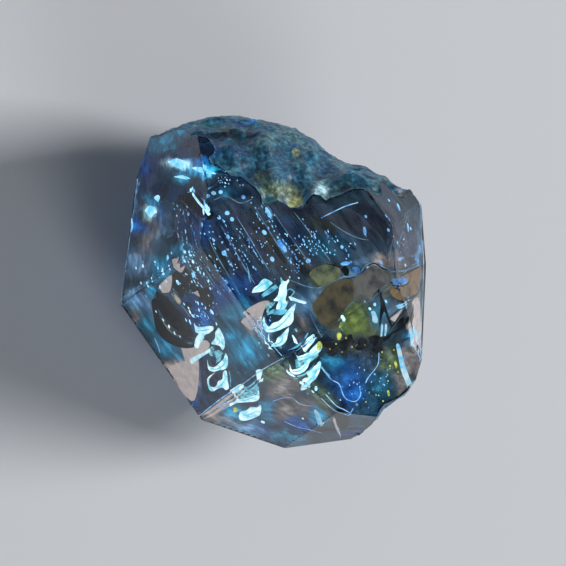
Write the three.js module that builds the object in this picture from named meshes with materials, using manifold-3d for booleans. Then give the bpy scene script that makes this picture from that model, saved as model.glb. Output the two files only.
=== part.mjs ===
// Petroleum quartz: a stubby quartz crystal, pointed at both ends, with oil and bitumen sealed inside.
// It lies on one of its prism faces. One side is the rough surface where it grew against rock, and
// one tip is chipped. Millimetres, +Z up, origin under the middle of the crystal's box.
// Inside this file a point is (t, w, z): t along the crystal's long c axis, w across it and z
// upwards, all from the middle of the crystal.
import * as THREE from 'three';
import { mergeVertices } from 'three/addons/utils/BufferGeometryUtils.js';
import Module from 'manifold-3d';

const wasm = await Module();
wasm.setup();

// Driving dimensions, in mm and degrees.
const HALF_HEIGHT = 4;
const C_AXIS_TURN = -55;
const WIDEST_LEVEL = -1.77;
const ROCK_SIDE_LEVEL = 1.92;
const TOP_FACE = { back: -3.7, front: 2.3 };
const RESTING_FACE = { back: -2.6, front: 2 };
const PARTING_HEIGHT = 0.2;
const POCKET_GAP = 0.05;
const BLANK_DETAIL = 22;
const LARGE_DETAIL = 5;
const SMALL_DETAIL = 3;

// Faces of quartz: the angle between a face's outward normal and the c axis.
const PRISM = 90;
const RHOMB = 51.8;
const STEEP_RHOMB = 57.7;
const SIDE_RHOMB = 56.3;
const SIDE_STEEP_RHOMB = 63;
const TIP_BEVEL = 36.9;
const SIXTH_TURN = 60;

// The crystal seen from above, as (t, w) points, and the two stretches of it that are rough.
const BACK_CORNER = [-2.33, -4.59];
const FRONT_CORNER = [2.42, -4.59];
const TIP_CORNER = [4.78, -2.87];
const ROCK_FRONT_CORNER = [2.46, 4.5];
const ROCK_CORNER = [0.74, 5.51];
const OUTLINE = [
  BACK_CORNER, FRONT_CORNER, TIP_CORNER, [5.78, -1.33], [5.84, -0.54], [5.77, 0.16],
  [5.59, 0.57], [5.62, 1.67], [5.25, 2.35], ROCK_FRONT_CORNER, ROCK_CORNER, [0.09, 5.45],
  [-0.68, 5.15], [-1.34, 4.75], [-1.73, 4.38], [-2.38, 4.0], [-3.05, 3.9], [-3.76, 3.56],
  [-4.66, 2.8], [-5.36, 2.07], [-5.95, 0.89], [-6.14, 0.09], [-6.23, -0.92],
];
const ROCK_SIDE = { from: 85, to: 188 };
const BROKEN_TIP = { from: -14, to: 25 };
const ROUGH_FADE = 9;

// The lump that the faces are cut from is a set of half ellipses, one for each direction. On the
// rock side their upper height changes along the side, given as [degrees, mm].
const ROCK_HEIGHTS = [
  [85, 8], [102, 8], [110, 5.7], [122, 5.15], [130, 4.7], [146, 4.57], [158, 4.85], [169, 5.5], [190, 6.2],
];
const UNDERSIDE_HEIGHT = 5.6;
const TIP_HEIGHT = 9;
const FACETED = { spread: 1.4, height: 7 };
const LUMPS = { depth: 0.24, length: 2.1, shift: 0.7 };
const PITS = { depth: 0.11, length: 1.05, shift: 2.9 };
const LEDGES = { depth: 0.9, pitch: 1.1 };
// Relief grows from nothing at the outline to its full depth this share of the way up.
const FULL_RELIEF_AT = 0.6;

// Inclusions: outlines from above as (t, w) points, and heights above the middle of the crystal.
const FILM = {
  centre: [-0.7, 1.2],
  outline: [
    [-3.3, -0.9], [-3.1, 0.25], [-2.8, 1.1], [-1.8, 1.95], [-1.15, 2.9], [-0.5, 3.6], [0.8, 3.85],
    [1.95, 3.7], [1.35, 3.15], [0.95, 2.4], [0.7, 1.8], [0.65, 1.0], [0.5, 0.2], [0.0, -0.9],
    [-0.7, -1.1], [-1.5, -0.75], [-2.5, -0.9],
  ],
  height: 0.2,
  sag: 0.16,
  thickness: 0.36,
};
const OIL = {
  centre: [2.0, 1.65],
  outline: [
    [1.3, 0.45], [1.0, 0.95], [1.02, 1.7], [1.4, 2.6], [1.75, 3.1], [2.4, 3.2], [2.75, 2.9],
    [2.95, 2.2], [2.7, 1.3], [2.25, 0.75], [1.75, 0.5],
  ],
  height: 0.42,
  sag: 0.05,
  thickness: 1.0,
};
const FLAKE = {
  centre: [-0.95, -2.25],
  outline: [
    [-1.95, -3.2], [-2.2, -2.3], [-2.0, -1.35], [-1.5, -1.0], [-1.05, -1.45], [-0.5, -1.1],
    [0.0, -1.7], [0.25, -2.5], [-0.1, -3.2], [-0.8, -3.55], [-1.5, -3.5],
  ],
  height: 0.3,
  rise: 0.42,
  sag: 0.1,
  thickness: 0.55,
};
const DROPLET = { centre: [1.92, 1.42, 1.4], reach: [0.46, 0.5, 0.4] };
const RIM = {
  route: [[1.75, 0.05, 0.75], [2.6, 0.5, 0.95], [3.15, 1.2, 0.9], [3.38, 2.05, 0.8]],
  reach: 0.26,
};
const BLADE = {
  route: [[3.5, 1.75, 1.6], [3.62, 2.35, 1.75], [3.4, 2.9, 1.72], [3.05, 3.2, 1.55]],
  reach: 0.2,
};
// The hollow that joins the pockets of the droplet, the rim and the blade to the oil's.
const WELL = {
  route: [[1.9, 0.8, 0.3], [2.7, 1.2, 0.9], [3.35, 1.9, 1.35], [3.4, 2.8, 1.75]],
  reach: 0.34,
};
const DISC_WAVE = { length: 5.5, shift: 0.8 };
const STRAND_LUMPS = { height: 0.16, turns: 3, shift: 1 };
const ROUNDING = 1e-9;

const degrees = THREE.MathUtils.degToRad;

// Distance from a centre to an outline in the direction of an angle in radians.
function reach(outline, centre, angle) {
  const along = [Math.cos(angle), Math.sin(angle)];
  let nearest = 0;
  outline.forEach((start, index) => {
    const end = outline[(index + 1) % outline.length];
    const edge = [end[0] - start[0], end[1] - start[1]];
    const gap = [start[0] - centre[0], start[1] - centre[1]];
    const cross = along[0] * edge[1] - along[1] * edge[0];
    const distance = (gap[0] * edge[1] - gap[1] * edge[0]) / cross;
    const share = (gap[0] * along[1] - gap[1] * along[0]) / cross;
    if (distance > 0 && share >= -ROUNDING && share <= 1 + ROUNDING) {
      nearest = Math.max(nearest, distance);
    }
  });
  return nearest;
}

// How far an angle lies inside a stretch of the outline: 1 inside, 0 outside, with a soft fade.
function within(stretch, angleInDegrees) {
  const middle = (stretch.from + stretch.to) / 2;
  const half = (stretch.to - stretch.from) / 2;
  const turned = ((angleInDegrees - middle + 540) % 360) - 180;
  const inside = half - Math.abs(turned);
  return THREE.MathUtils.smoothstep(inside, -ROUGH_FADE / 2, ROUGH_FADE / 2);
}

// A slow, uneven swell over space, between about -1 and 1: length is that of its waves in mm.
function swell(point, { length, shift }) {
  const k = (2 * Math.PI) / length;
  const a = Math.sin(k * (point.x + 0.4 * point.y) + shift);
  const b = Math.sin(k * (0.9 * point.y - 0.5 * point.z) + 2.1 * shift);
  const c = Math.sin(k * (0.8 * point.z + 0.3 * point.x) + 3.7 * shift);
  return (a * b + b * c + c * a) / 1.5;
}

// Turns an even slope into ledges one pitch apart, without folding it back on itself.
function ledges(value, { pitch, depth }) {
  const turn = (2 * Math.PI) / pitch;
  return value - (depth / turn) * Math.sin(turn * value);
}

// A closed ball of triangles with each point moved to a place of its own, as a solid.
function moulded(detail, place) {
  const ball = new THREE.IcosahedronGeometry(1, detail);
  ball.deleteAttribute('normal');
  ball.deleteAttribute('uv');
  const merged = mergeVertices(ball);
  const positions = merged.getAttribute('position');
  const point = new THREE.Vector3();
  for (let index = 0; index < positions.count; index += 1) {
    point.fromBufferAttribute(positions, index).normalize();
    const placed = place(point);
    positions.setXYZ(index, placed.x, placed.y, placed.z);
  }
  const vertProperties = new Float32Array(positions.array);
  const triVerts = new Uint32Array(merged.index.array);
  return new wasm.Manifold(new wasm.Mesh({ numProp: 3, vertProperties, triVerts }));
}

// A disc with rounded edges and an outline of its own, sagging, tilting and a little uneven.
function lens(shape, detail, grow) {
  const [t, w] = shape.centre;
  return moulded(detail, (point) => {
    const angle = Math.atan2(point.y, point.x);
    const spread = Math.hypot(point.x, point.y);
    const radius = spread * (reach(shape.outline, shape.centre, angle) + grow);
    const placed = new THREE.Vector3(t + radius * Math.cos(angle), w + radius * Math.sin(angle), 0);
    const rise = (shape.rise ?? 0) * (placed.y - w);
    const wave = shape.sag * swell(placed, DISC_WAVE);
    placed.z = shape.height + rise + wave + point.z * (shape.thickness / 2 + grow);
    return placed;
  });
}

// A rounded strand along a route, thickest in the middle and lumpy along its length.
function strand(shape, detail, grow) {
  const route = new THREE.CatmullRomCurve3(shape.route.map((stop) => new THREE.Vector3(...stop)));
  const up = new THREE.Vector3(0, 0, 1);
  return moulded(detail, (point) => {
    const along = (point.x + 1) / 2;
    const side = new THREE.Vector3().crossVectors(up, route.getTangent(along)).normalize();
    const turn = 2 * Math.PI * STRAND_LUMPS.turns * along + STRAND_LUMPS.shift;
    const lump = 1 + STRAND_LUMPS.height * Math.sin(turn);
    const placed = route.getPoint(along);
    const girth = shape.reach * lump + grow;
    placed.addScaledVector(side, point.y * girth);
    placed.addScaledVector(up, point.z * girth);
    placed.addScaledVector(route.getTangent(along), point.x * grow);
    return placed;
  });
}

function ellipsoid(shape, detail, grow) {
  return moulded(detail, (point) => new THREE.Vector3(
    shape.centre[0] + point.x * (shape.reach[0] + grow),
    shape.centre[1] + point.y * (shape.reach[1] + grow),
    shape.centre[2] + point.z * (shape.reach[2] + grow),
  ));
}

// Height of the rock side's ellipse at an angle in degrees, between the listed ones.
function rockHeight(angle) {
  const turned = angle < 0 ? angle + 360 : angle;
  const next = ROCK_HEIGHTS.findIndex(([at]) => at > turned);
  if (next < 1) {
    return next === 0 ? ROCK_HEIGHTS[0][1] : ROCK_HEIGHTS.at(-1)[1];
  }
  const [[fromAngle, fromHeight], [toAngle, toHeight]] = ROCK_HEIGHTS.slice(next - 1, next + 1);
  return THREE.MathUtils.mapLinear(turned, fromAngle, toAngle, fromHeight, toHeight);
}

// The lump follows the outline on the rough stretches, with lumps, ledges and pits, and stands
// proud of the outline where faces cut it.
function blank() {
  return moulded(BLANK_DETAIL, (point) => {
    const angle = Math.atan2(point.y, point.x);
    const inDegrees = THREE.MathUtils.radToDeg(angle);
    const rock = within(ROCK_SIDE, inDegrees);
    const broken = within(BROKEN_TIP, inDegrees);
    const faceted = 1 - rock - broken;
    const outline = reach(OUTLINE, [0, 0], angle);
    const radius = outline * (1 + (FACETED.spread - 1) * faceted);
    const rockSide = point.z > 0 ? rockHeight(inDegrees) : UNDERSIDE_HEIGHT;
    const height = rock * rockSide + broken * TIP_HEIGHT + faceted * FACETED.height;
    const level = Math.hypot(point.x, point.y);
    const size = 1 / Math.hypot(level / radius, point.z / height);
    const placed = point.clone().multiplyScalar(size);
    const relief = LUMPS.depth * swell(placed, LUMPS) + PITS.depth * swell(placed, PITS);
    const offOutline = Math.min(1, Math.abs(point.z) / FULL_RELIEF_AT);
    placed.multiplyScalar(1 + (rock + broken) * relief * offOutline / size);
    placed.z = THREE.MathUtils.lerp(placed.z, ledges(placed.z, LEDGES), rock);
    return placed;
  });
}

// Keeps what lies behind a face whose normal leans tilt degrees from the c axis, turned by turn
// degrees about it from straight up.
function cutFace(solid, turn, tilt, through) {
  const normal = new THREE.Vector3(
    Math.cos(degrees(tilt)),
    Math.sin(degrees(tilt)) * Math.sin(degrees(turn)),
    Math.sin(degrees(tilt)) * Math.cos(degrees(turn)),
  );
  const offset = normal.dot(new THREE.Vector3(...through));
  return solid.trimByPlane([-normal.x, -normal.y, -normal.z], -offset);
}

function crystal() {
  const back = 180 - RHOMB;
  const faces = [
    [0, PRISM, [0, 0, HALF_HEIGHT]],
    [180, PRISM, [0, 0, -HALF_HEIGHT]],
    [0, RHOMB, [TOP_FACE.front, 0, HALF_HEIGHT]],
    [180, RHOMB, [RESTING_FACE.front, 0, -HALF_HEIGHT]],
    [0, back, [TOP_FACE.back, 0, HALF_HEIGHT]],
    [180, back, [RESTING_FACE.back, 0, -HALF_HEIGHT]],
  ];
  [SIXTH_TURN, 180 - SIXTH_TURN].forEach((turn) => {
    faces.push([-turn, PRISM, [...FRONT_CORNER, WIDEST_LEVEL]]);
    faces.push([-turn, STEEP_RHOMB, [...FRONT_CORNER, WIDEST_LEVEL]]);
    faces.push([-turn, TIP_BEVEL, [...TIP_CORNER, WIDEST_LEVEL]]);
    faces.push([-turn, back, [...BACK_CORNER, WIDEST_LEVEL]]);
    faces.push([turn, PRISM, [...ROCK_CORNER, ROCK_SIDE_LEVEL]]);
    faces.push([turn, SIDE_RHOMB, [...ROCK_FRONT_CORNER, ROCK_SIDE_LEVEL]]);
    faces.push([turn, SIDE_STEEP_RHOMB, [...ROCK_CORNER, ROCK_SIDE_LEVEL]]);
  });
  return faces.reduce((solid, [turn, tilt, through]) => cutFace(solid, turn, tilt, through), blank());
}

// Shell-shaped chips along the broken tip and the rough side: centre (t, w, z) and size in mm.
const CHIPS = [
  { centre: [6.1, 0.9, 0.55], reach: [0.62, 0.5, 0.7] },
  { centre: [5.75, 2.35, 0.9], reach: [0.6, 0.55, 0.6] },
  { centre: [5.5, -2.35, -0.6], reach: [0.5, 0.42, 0.5] },
  { centre: [-5.9, 2.3, 1.3], reach: [0.9, 0.7, 0.6] },
  { centre: [-2.5, 4.75, -0.4], reach: [0.5, 0.8, 0.9] },
];

const inclusions = {
  oil_film: (grow) => lens(FILM, LARGE_DETAIL, grow),
  oil_pocket: (grow) => lens(OIL, LARGE_DETAIL, grow),
  oil_droplet: (grow) => ellipsoid(DROPLET, SMALL_DETAIL, grow),
  bitumen_rim: (grow) => strand(RIM, SMALL_DETAIL, grow),
  bitumen_blade: (grow) => strand(BLADE, SMALL_DETAIL, grow),
  bitumen_flake: (grow) => lens(FLAKE, LARGE_DETAIL, grow),
};

// The clear crystal with the hollows that the inclusions fill, parted level into two halves.
function halves() {
  const chipped = CHIPS.reduce((solid, chip) => solid.subtract(ellipsoid(chip, SMALL_DETAIL, 0)), crystal());
  const pockets = Object.values(inclusions).map((make) => make(POCKET_GAP));
  const hollowed = [...pockets, strand(WELL, SMALL_DETAIL, 0)]
    .reduce((solid, pocket) => solid.subtract(pocket), chipped);
  return {
    quartz_upper: hollowed.trimByPlane([0, 0, 1], PARTING_HEIGHT),
    quartz_lower: hollowed.trimByPlane([0, 0, -1], -PARTING_HEIGHT),
  };
}

const LOOKS = {
  quartz: { color: 0xb9c9d6, roughness: 0.05, metalness: 0 },
  oil: { color: 0x3a2a20, roughness: 0.2, metalness: 0 },
  droplet: { color: 0xa9a92e, roughness: 0.1, metalness: 0 },
  bitumen: { color: 0x0d0b0a, roughness: 0.35, metalness: 0 },
};

// A named mesh of a solid, turned from (t, w, z) to its place above the surface it lies on.
function placedMesh(name, solid, look) {
  const { vertProperties, triVerts } = solid.getMesh();
  const geometry = new THREE.BufferGeometry();
  geometry.setAttribute('position', new THREE.BufferAttribute(new Float32Array(vertProperties), 3));
  geometry.setIndex(new THREE.BufferAttribute(new Uint32Array(triVerts), 1));
  geometry.rotateZ(degrees(C_AXIS_TURN));
  geometry.translate(0, 0, HALF_HEIGHT);
  geometry.computeVertexNormals();
  const mesh = new THREE.Mesh(geometry, new THREE.MeshStandardMaterial(LOOKS[look]));
  mesh.name = name;
  return mesh;
}

const group = new THREE.Group();
const { quartz_upper: upper, quartz_lower: lower } = halves();
group.add(placedMesh('quartz_upper', upper, 'quartz'));
group.add(placedMesh('quartz_lower', lower, 'quartz'));
group.add(placedMesh('oil_film', inclusions.oil_film(0), 'oil'));
group.add(placedMesh('oil_pocket', inclusions.oil_pocket(0), 'oil'));
group.add(placedMesh('oil_droplet', inclusions.oil_droplet(0), 'droplet'));
group.add(placedMesh('bitumen_rim', inclusions.bitumen_rim(0), 'bitumen'));
group.add(placedMesh('bitumen_blade', inclusions.bitumen_blade(0), 'bitumen'));
group.add(placedMesh('bitumen_flake', inclusions.bitumen_flake(0), 'bitumen'));

export default group;
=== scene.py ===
import math
import random

import bmesh
import bpy
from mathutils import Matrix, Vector, noise
from mathutils.bvhtree import BVHTree


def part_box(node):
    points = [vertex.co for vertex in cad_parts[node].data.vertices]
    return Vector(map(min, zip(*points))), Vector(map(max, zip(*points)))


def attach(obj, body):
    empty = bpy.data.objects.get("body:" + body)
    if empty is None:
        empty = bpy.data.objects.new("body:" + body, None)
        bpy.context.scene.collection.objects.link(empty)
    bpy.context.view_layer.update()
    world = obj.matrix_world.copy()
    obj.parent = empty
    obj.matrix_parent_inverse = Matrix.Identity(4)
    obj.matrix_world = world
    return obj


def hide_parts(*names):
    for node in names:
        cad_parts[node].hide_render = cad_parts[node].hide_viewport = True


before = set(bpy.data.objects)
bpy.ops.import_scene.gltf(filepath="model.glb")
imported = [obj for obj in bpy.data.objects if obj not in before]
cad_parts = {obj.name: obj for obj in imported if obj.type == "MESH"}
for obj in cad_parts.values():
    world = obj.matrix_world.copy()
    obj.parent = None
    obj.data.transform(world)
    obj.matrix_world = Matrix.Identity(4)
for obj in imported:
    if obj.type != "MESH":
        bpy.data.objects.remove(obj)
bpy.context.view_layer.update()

# Driving values. The photograph is 566 pixels square, and 30 of its pixels are 1 mm at the height of
# the crystal's middle. ORIGIN_PIXEL is where the shared frame's origin appears in it.
MM = 0.001
FRAME_PIXELS = 566
PIXELS_PER_MM = 30.0
ORIGIN_PIXEL = (272.25, 282.2)
MIDDLE_HEIGHT = 4.0 * MM
CAMERA_DISTANCE = 300 * MM
SENSOR = 36.0
C_AXIS_TURN = math.radians(-55)
QUARTZ_IOR = 1.544
CRYSTAL_FACE_AREA = 0.3 * MM * MM
COPLANAR = math.radians(0.4)
WELD = 0.002 * MM

# Vector noise starts from the clock unless it is given a seed.
NOISE_SEED = 3
noise.seed_set(NOISE_SEED)

# How deep the thin films lie under the faces, along the way the photograph looks in.
EDGE_DEPTH = 0.2 * MM
STEP_LINE_DEPTH = 0.29 * MM
SPARK_DEPTH = 0.30 * MM
BEAD_DEPTH = 0.32 * MM
STEP_DEPTH = 0.34 * MM
BAND_DEPTH = 0.35 * MM
FLARE_DEPTH = 0.36 * MM
STREAK_DEPTH = 0.37 * MM
SLOT_DEPTH = 0.38 * MM
THREAD_DEPTH = 0.40 * MM
PLATE_DEPTH = 0.42 * MM
POCKET_DEPTH = 0.43 * MM
TAN_DEPTH = 0.44 * MM
LINE_DEPTH = 0.48 * MM
CRACK_DEPTH = 0.5 * MM
SPECK_DEPTH = 1.1 * MM
PANE_THICKNESS = 0.04 * MM
# The panes' corners and faces are sorted along this axis, so that each run gives the same mesh.
SORT_AXIS = Vector((1, 0.37, 1.7))
# Where a ray misses the dark film, what belongs on the film lies at these depths.
FINGER_DEPTH = 2.6 * MM
ROW_DEPTH = 3.2 * MM

# The gap to the film in mm, and the lean of beads where their slant would cross a face's edge.
FILM_GAP = 0.02
LONGEST_STEP = 0.3 * MM
DEFAULT_LEAN = (0.6, -0.8, 0)

# Beads and ribbons: widths and sizes in pixels, slants in degrees clockwise from the right, and how
# high a ribbon is for its width.
STREAK_SLANT = 62
SPECK_SLANT = 65
SPECK_WIDTH = 0.7
CRACK_WIDTH = 0.9
TUBE_WIDTH = 3
LEAST_WIDTH = 0.4
RIBBON_FLAT = 0.35
FINGER_FLAT = 0.12
TUBE_FLAT = 0.8
ROW_STRAY = 1.1
ROW_LENGTHS = (1.8, 2.4, 3.2, 4.6)
ROW_WIDTHS = (0.9, 1.6)
GLINT_SPREAD = 0.5
GLINT_SIZES = (0.5, 1.2)
GLINT_STRETCH = (1.2, 2.2)
GLINT_LEAN = 20

# Relief of the rough side and of the broken tip: heights, sizes in mm and shifts of its lumps.
ROUGH_LUMPS = [(0.07, 0.45, 3.1), (0.06, 0.2, 7.7)]
ROUGH_SINK = 0.02
# How soon the rough side's painted stains, painted highlights and painted shade begin to fade as it
# turns away from the camera above.
STAIN_AND_LIGHT_FADE = 4

# Light lost in the quartz, and the studio: places in metres, power in watts.
QUARTZ_TINT = (0.22, 0.50, 0.72, 1)
QUARTZ_DENSITY = 480
FLOOR_TONE = (0.80, 0.80, 0.81, 1)
FLOOR_SIZE = 0.9
WORLD_TONE = (0.80, 0.88, 1.0, 1)
WORLD_STRENGTH = 0.11
KEY_LIGHT = ((0.455, 0.03, 0.24), 0.15, 2.8, (0.96, 0.98, 1.0))
FILL_LIGHT = ((0.26, -0.40, 0.3), 0.24, 0.8, (0.92, 0.96, 1.0))

# Colours, linear.
ICE = (0.62, 0.95, 1.0)
CYAN = (0.04, 0.50, 0.82)
BLUE = (0.01, 0.18, 0.60)
DEEP_BLUE = (0.003, 0.05, 0.20)
TEAL = (0.02, 0.17, 0.27)
SLATE = (0.015, 0.065, 0.11)
TAN = (0.46, 0.36, 0.32)
PLUM = (0.030, 0.032, 0.050)
UMBER = (0.09, 0.08, 0.05)
OLIVE = (0.14, 0.19, 0.09)
MOSS = (0.115, 0.14, 0.022)
YELLOW = (0.60, 0.62, 0.25)
LILAC = (0.14, 0.28, 0.44)
INK = (0.001, 0.006, 0.025)

# Rows of bright beads on the dark film: pixels of the first and last bead, and how many.
BEAD_ROWS = [
    ((220, 217), (247, 265), 11), ((209, 233), (219, 257), 7), ((240, 232), (262, 262), 12),
    ((173, 204), (184, 244), 8), ((178, 206), (182, 214), 3), ((224, 252), (233, 270), 5),
    ((236, 244), (256, 270), 8), ((248, 240), (254, 250), 4), ((252, 203), (262, 224), 5),
    ((270, 222), (290, 262), 9), ((283, 240), (300, 262), 7), ((300, 236), (312, 254), 6),
    ((196, 262), (206, 282), 5), ((214, 262), (226, 284), 6), ((262, 206), (275, 226), 5),
    ((305, 225), (330, 252), 8), ((326, 234), (334, 242), 4), ((346, 250), (352, 262), 3),
]
# Dark fingers of oil that run down the film, and the thin light lines between them: pixels and widths.
FILM_FINGERS = [
    [(204, 232, 3), (212, 250, 6), (224, 272, 5.5), (236, 292, 3)],
    [(216, 222, 3), (227, 241, 6.5), (240, 264, 6), (250, 280, 3)],
    [(231, 214, 3), (242, 232, 6), (254, 252, 6.5), (265, 270, 3)],
    [(250, 208, 3), (262, 226, 6), (274, 246, 6), (286, 264, 3)],
    [(268, 212, 3), (280, 229, 5.5), (294, 248, 6), (306, 264, 3)],
    [(288, 212, 3), (301, 228, 5), (315, 245, 5), (326, 258, 3)],
    [(186, 246, 3), (196, 262, 5), (206, 276, 5), (216, 292, 3)],
    [(310, 214, 3), (325, 227, 6), (342, 240, 5), (356, 250, 3)],
]
FILM_LINES = [
    [(208.5, 238, 0.5), (217, 256, 1.0), (229, 276, 0.9), (240, 295, 0.5)],
    [(221, 226, 0.5), (233, 247, 1.0), (245, 268, 1.0), (255, 284, 0.5)],
    [(236, 216, 0.5), (248, 235, 1.1), (259, 254, 0.9), (270, 272, 0.5)],
    [(256, 209, 0.5), (268, 229, 1.0), (280, 248, 1.0), (291, 264, 0.5)],
    [(274, 213, 0.5), (287, 232, 0.9), (300, 250, 0.9), (311, 266, 0.5)],
    [(294, 212, 0.5), (308, 230, 0.9), (321, 248, 0.7), (330, 260, 0.5)],
    [(190, 244, 0.5), (201, 261, 0.9), (211, 278, 0.9), (221, 294, 0.5)],
    [(330, 222, 0.5), (345, 232, 1.0), (358, 238, 0.8), (368, 240, 0.5)],
    [(214, 200, 0.5), (226, 196, 0.9), (240, 203, 0.9), (252, 199, 0.5)],
    [(262, 203, 0.5), (270, 209, 1.1), (272, 217, 1.1), (266, 222, 0.5)],
]
# The light line along the top of the big pocket, and lines of its walls: pixels and widths.
POCKET_LINES = [
    [(290.5, 280, 0.6), (304, 285.5, 1.2), (318, 288, 1.0), (328, 283, 1.4), (338.7, 278.7, 1.0),
     (349, 275, 1.6), (360.5, 272, 1.2), (366, 265.5, 1.2), (376.6, 263, 1.4), (388, 269.7, 1.6),
     (403, 271, 1.2), (419, 265, 0.8)],
    [(308, 304, 0.6), (312, 318, 1.0), (318, 330, 0.8), (322, 338, 0.5)],
    [(343, 331, 0.6), (338, 322, 0.9), (344, 311, 0.9), (353, 302, 0.6)],
    [(396, 262, 0.6), (398, 246, 0.9), (404, 228, 0.7), (408, 212, 0.5)],
    [(419, 262, 0.6), (409, 268, 1.0), (399, 280, 0.8)],
]
# Scattered bright beads: pixel, length, width and slant. The one at (209.3, 175.8) is a painted
# highlight.
LARGE_BEADS = [
    (201.8, 224.6, 6, 4, 70), (224.1, 253.2, 5.5, 4.5, 60), (227.2, 213.0, 5, 4.5, 0),
    (232.1, 219.3, 4.5, 4, 60), (243.3, 197.0, 4.5, 4, 60), (268.8, 213.0, 14, 4, 62),
    (282.1, 246.1, 15, 4.5, 52), (308.3, 260.8, 5, 5, 0), (317.4, 274.6, 6, 5.5, 20),
    (345.5, 263.4, 10, 4, -8), (209.3, 175.8, 4, 4, 0), (192.9, 261.3, 5, 4, 60),
    (198.2, 267.5, 7, 2.6, 80), (177.7, 282.7, 7, 4.5, 65), (225.9, 281.8, 5, 3, 60),
    (229.9, 288.9, 5.5, 4, 60), (213.5, 193.0, 5, 4, 30), (208.0, 196.0, 4, 4, 0),
    (405.2, 265.2, 4, 3, 60), (418.0, 261.0, 8, 2.4, 88), (365.8, 216.5, 3.5, 2.4, 60),
    (386.2, 216.0, 4, 3, 70), (388.5, 230.2, 4, 2.6, 60), (408.0, 227.5, 9, 3, 85),
]
# The bright tube in the black void near the top left.
VOID_TUBE = [(192.5, 193.5), (196.5, 199.5), (200.5, 204.5), (205.5, 210.0), (209.5, 215.0)]

# Hopper steps: closed outlines, in pixels, of the bright shelves in the four stepped hollows.
HOPPER_STEPS = [
    [(194.2, 323), (196, 326), (201, 327), (210.8, 326), (213.5, 327), (213, 330), (209, 333), (205, 335),
     (203, 340), (199.5, 344), (198, 348), (195, 347), (194.8, 343), (196.5, 337), (199, 333.5),
     (194.3, 330.5)],
    [(218.5, 327.5), (221, 331), (224, 338), (224.8, 345.5), (222.8, 350), (220, 346), (215.5, 344.5),
     (212, 344), (212, 342), (215.3, 338), (215.5, 330)],
    [(190, 360), (197, 355.5), (204, 352.5), (209.5, 348.5), (210.5, 351), (205, 355), (197, 360),
     (190, 365)],
    [(207.3, 360), (209, 366), (214.5, 367), (219, 363.5), (224, 358), (225.8, 353), (227.8, 358),
     (227.5, 366), (224, 369.5), (219.5, 370), (214.5, 371.5), (210, 370.5), (207.5, 366)],
    [(215.5, 372), (211, 376.5), (209, 380), (209.5, 385), (213, 387.3), (216.5, 386), (218.5, 381),
     (222.5, 379), (223.5, 372), (226.5, 371), (228, 382), (228.8, 388), (226, 390), (223, 387.5),
     (218, 388.5), (214, 391), (210.5, 390.5), (208, 385), (207.5, 378.5), (211.5, 374.5)],
    [(230, 391), (235, 387), (241, 384), (244, 386.5), (240, 390), (231, 394)],
    [(256, 371), (258.5, 369.5), (262.5, 370), (261.5, 375.5), (259.5, 381), (256.5, 378)],
    [(236.2, 395.5), (238, 399), (246, 398.3), (254, 395.5), (257.5, 393.5), (258.3, 390.5), (259.2, 392),
     (259, 399), (254, 401.3), (246, 402), (236, 403), (230, 406.5), (230, 403.5), (236.5, 400.5)],
    [(240, 412), (247, 410), (251, 407), (257, 407.5), (260.5, 405), (261.2, 410), (259.5, 415),
     (252, 418.5), (245, 420.5), (240, 419.5), (238.6, 414)],
    [(252, 293), (254, 288), (258, 285), (262, 280), (266, 278.8), (272.5, 282.8), (270, 286),
     (264.5, 290.5), (257, 292.6)],
    [(280.5, 277), (283, 280.5), (286, 281.5), (288.5, 279), (289.3, 281), (286.8, 285.5), (287, 293),
     (285.5, 300), (287, 304.5), (283, 311), (276.5, 314), (276.5, 306), (278.5, 301.5), (273.5, 300.5),
     (278, 295), (279.5, 286), (281.5, 283)],
    [(262.5, 322), (264, 316.5), (265.5, 323), (269, 327), (273, 323), (279, 321), (284, 315.5),
     (289, 309.5), (295.5, 303.5), (295, 308), (293.5, 313), (293.5, 320), (290, 325), (285, 327.5),
     (277, 331), (268, 332.3), (263.5, 328)],
    [(288.8, 327), (287.5, 336), (285.5, 342), (280, 346), (271, 346.5), (268, 342), (268.6, 334),
     (270, 341), (275, 343), (277.5, 338), (283, 333.5)],
    [(288.5, 297), (291, 296.5), (297, 299), (306, 302), (304.5, 303.7), (297, 302), (288.5, 299.5)],
    [(291.7, 335), (294, 336), (297.5, 342.5), (297, 344), (293, 341)],
    [(313, 334), (315, 337), (313.5, 342), (308.5, 347.5), (305, 352), (302.3, 347.5), (305, 342.5),
     (308, 337)],
    [(319, 341.3), (322, 345.5), (320.5, 350.5), (315, 355), (311.5, 356), (308.5, 353.5), (313, 347)],
    [(294.5, 352), (297, 356), (303, 355), (307.5, 352.5), (310, 355), (305, 358.5), (296, 360.3)],
    [(289.5, 363.5), (291.5, 369.5), (296, 369), (302, 366.3), (306, 361.5), (309.8, 359), (308.5, 365),
     (304.5, 371), (298, 374), (292, 373.3), (289, 368)],
    [(320.3, 362), (320, 369), (316, 378), (310.5, 383), (307.5, 388), (300.8, 390), (302, 384),
     (303, 379), (308.5, 377), (306, 372.5), (311, 370), (315.5, 364.8)],
]
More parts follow.
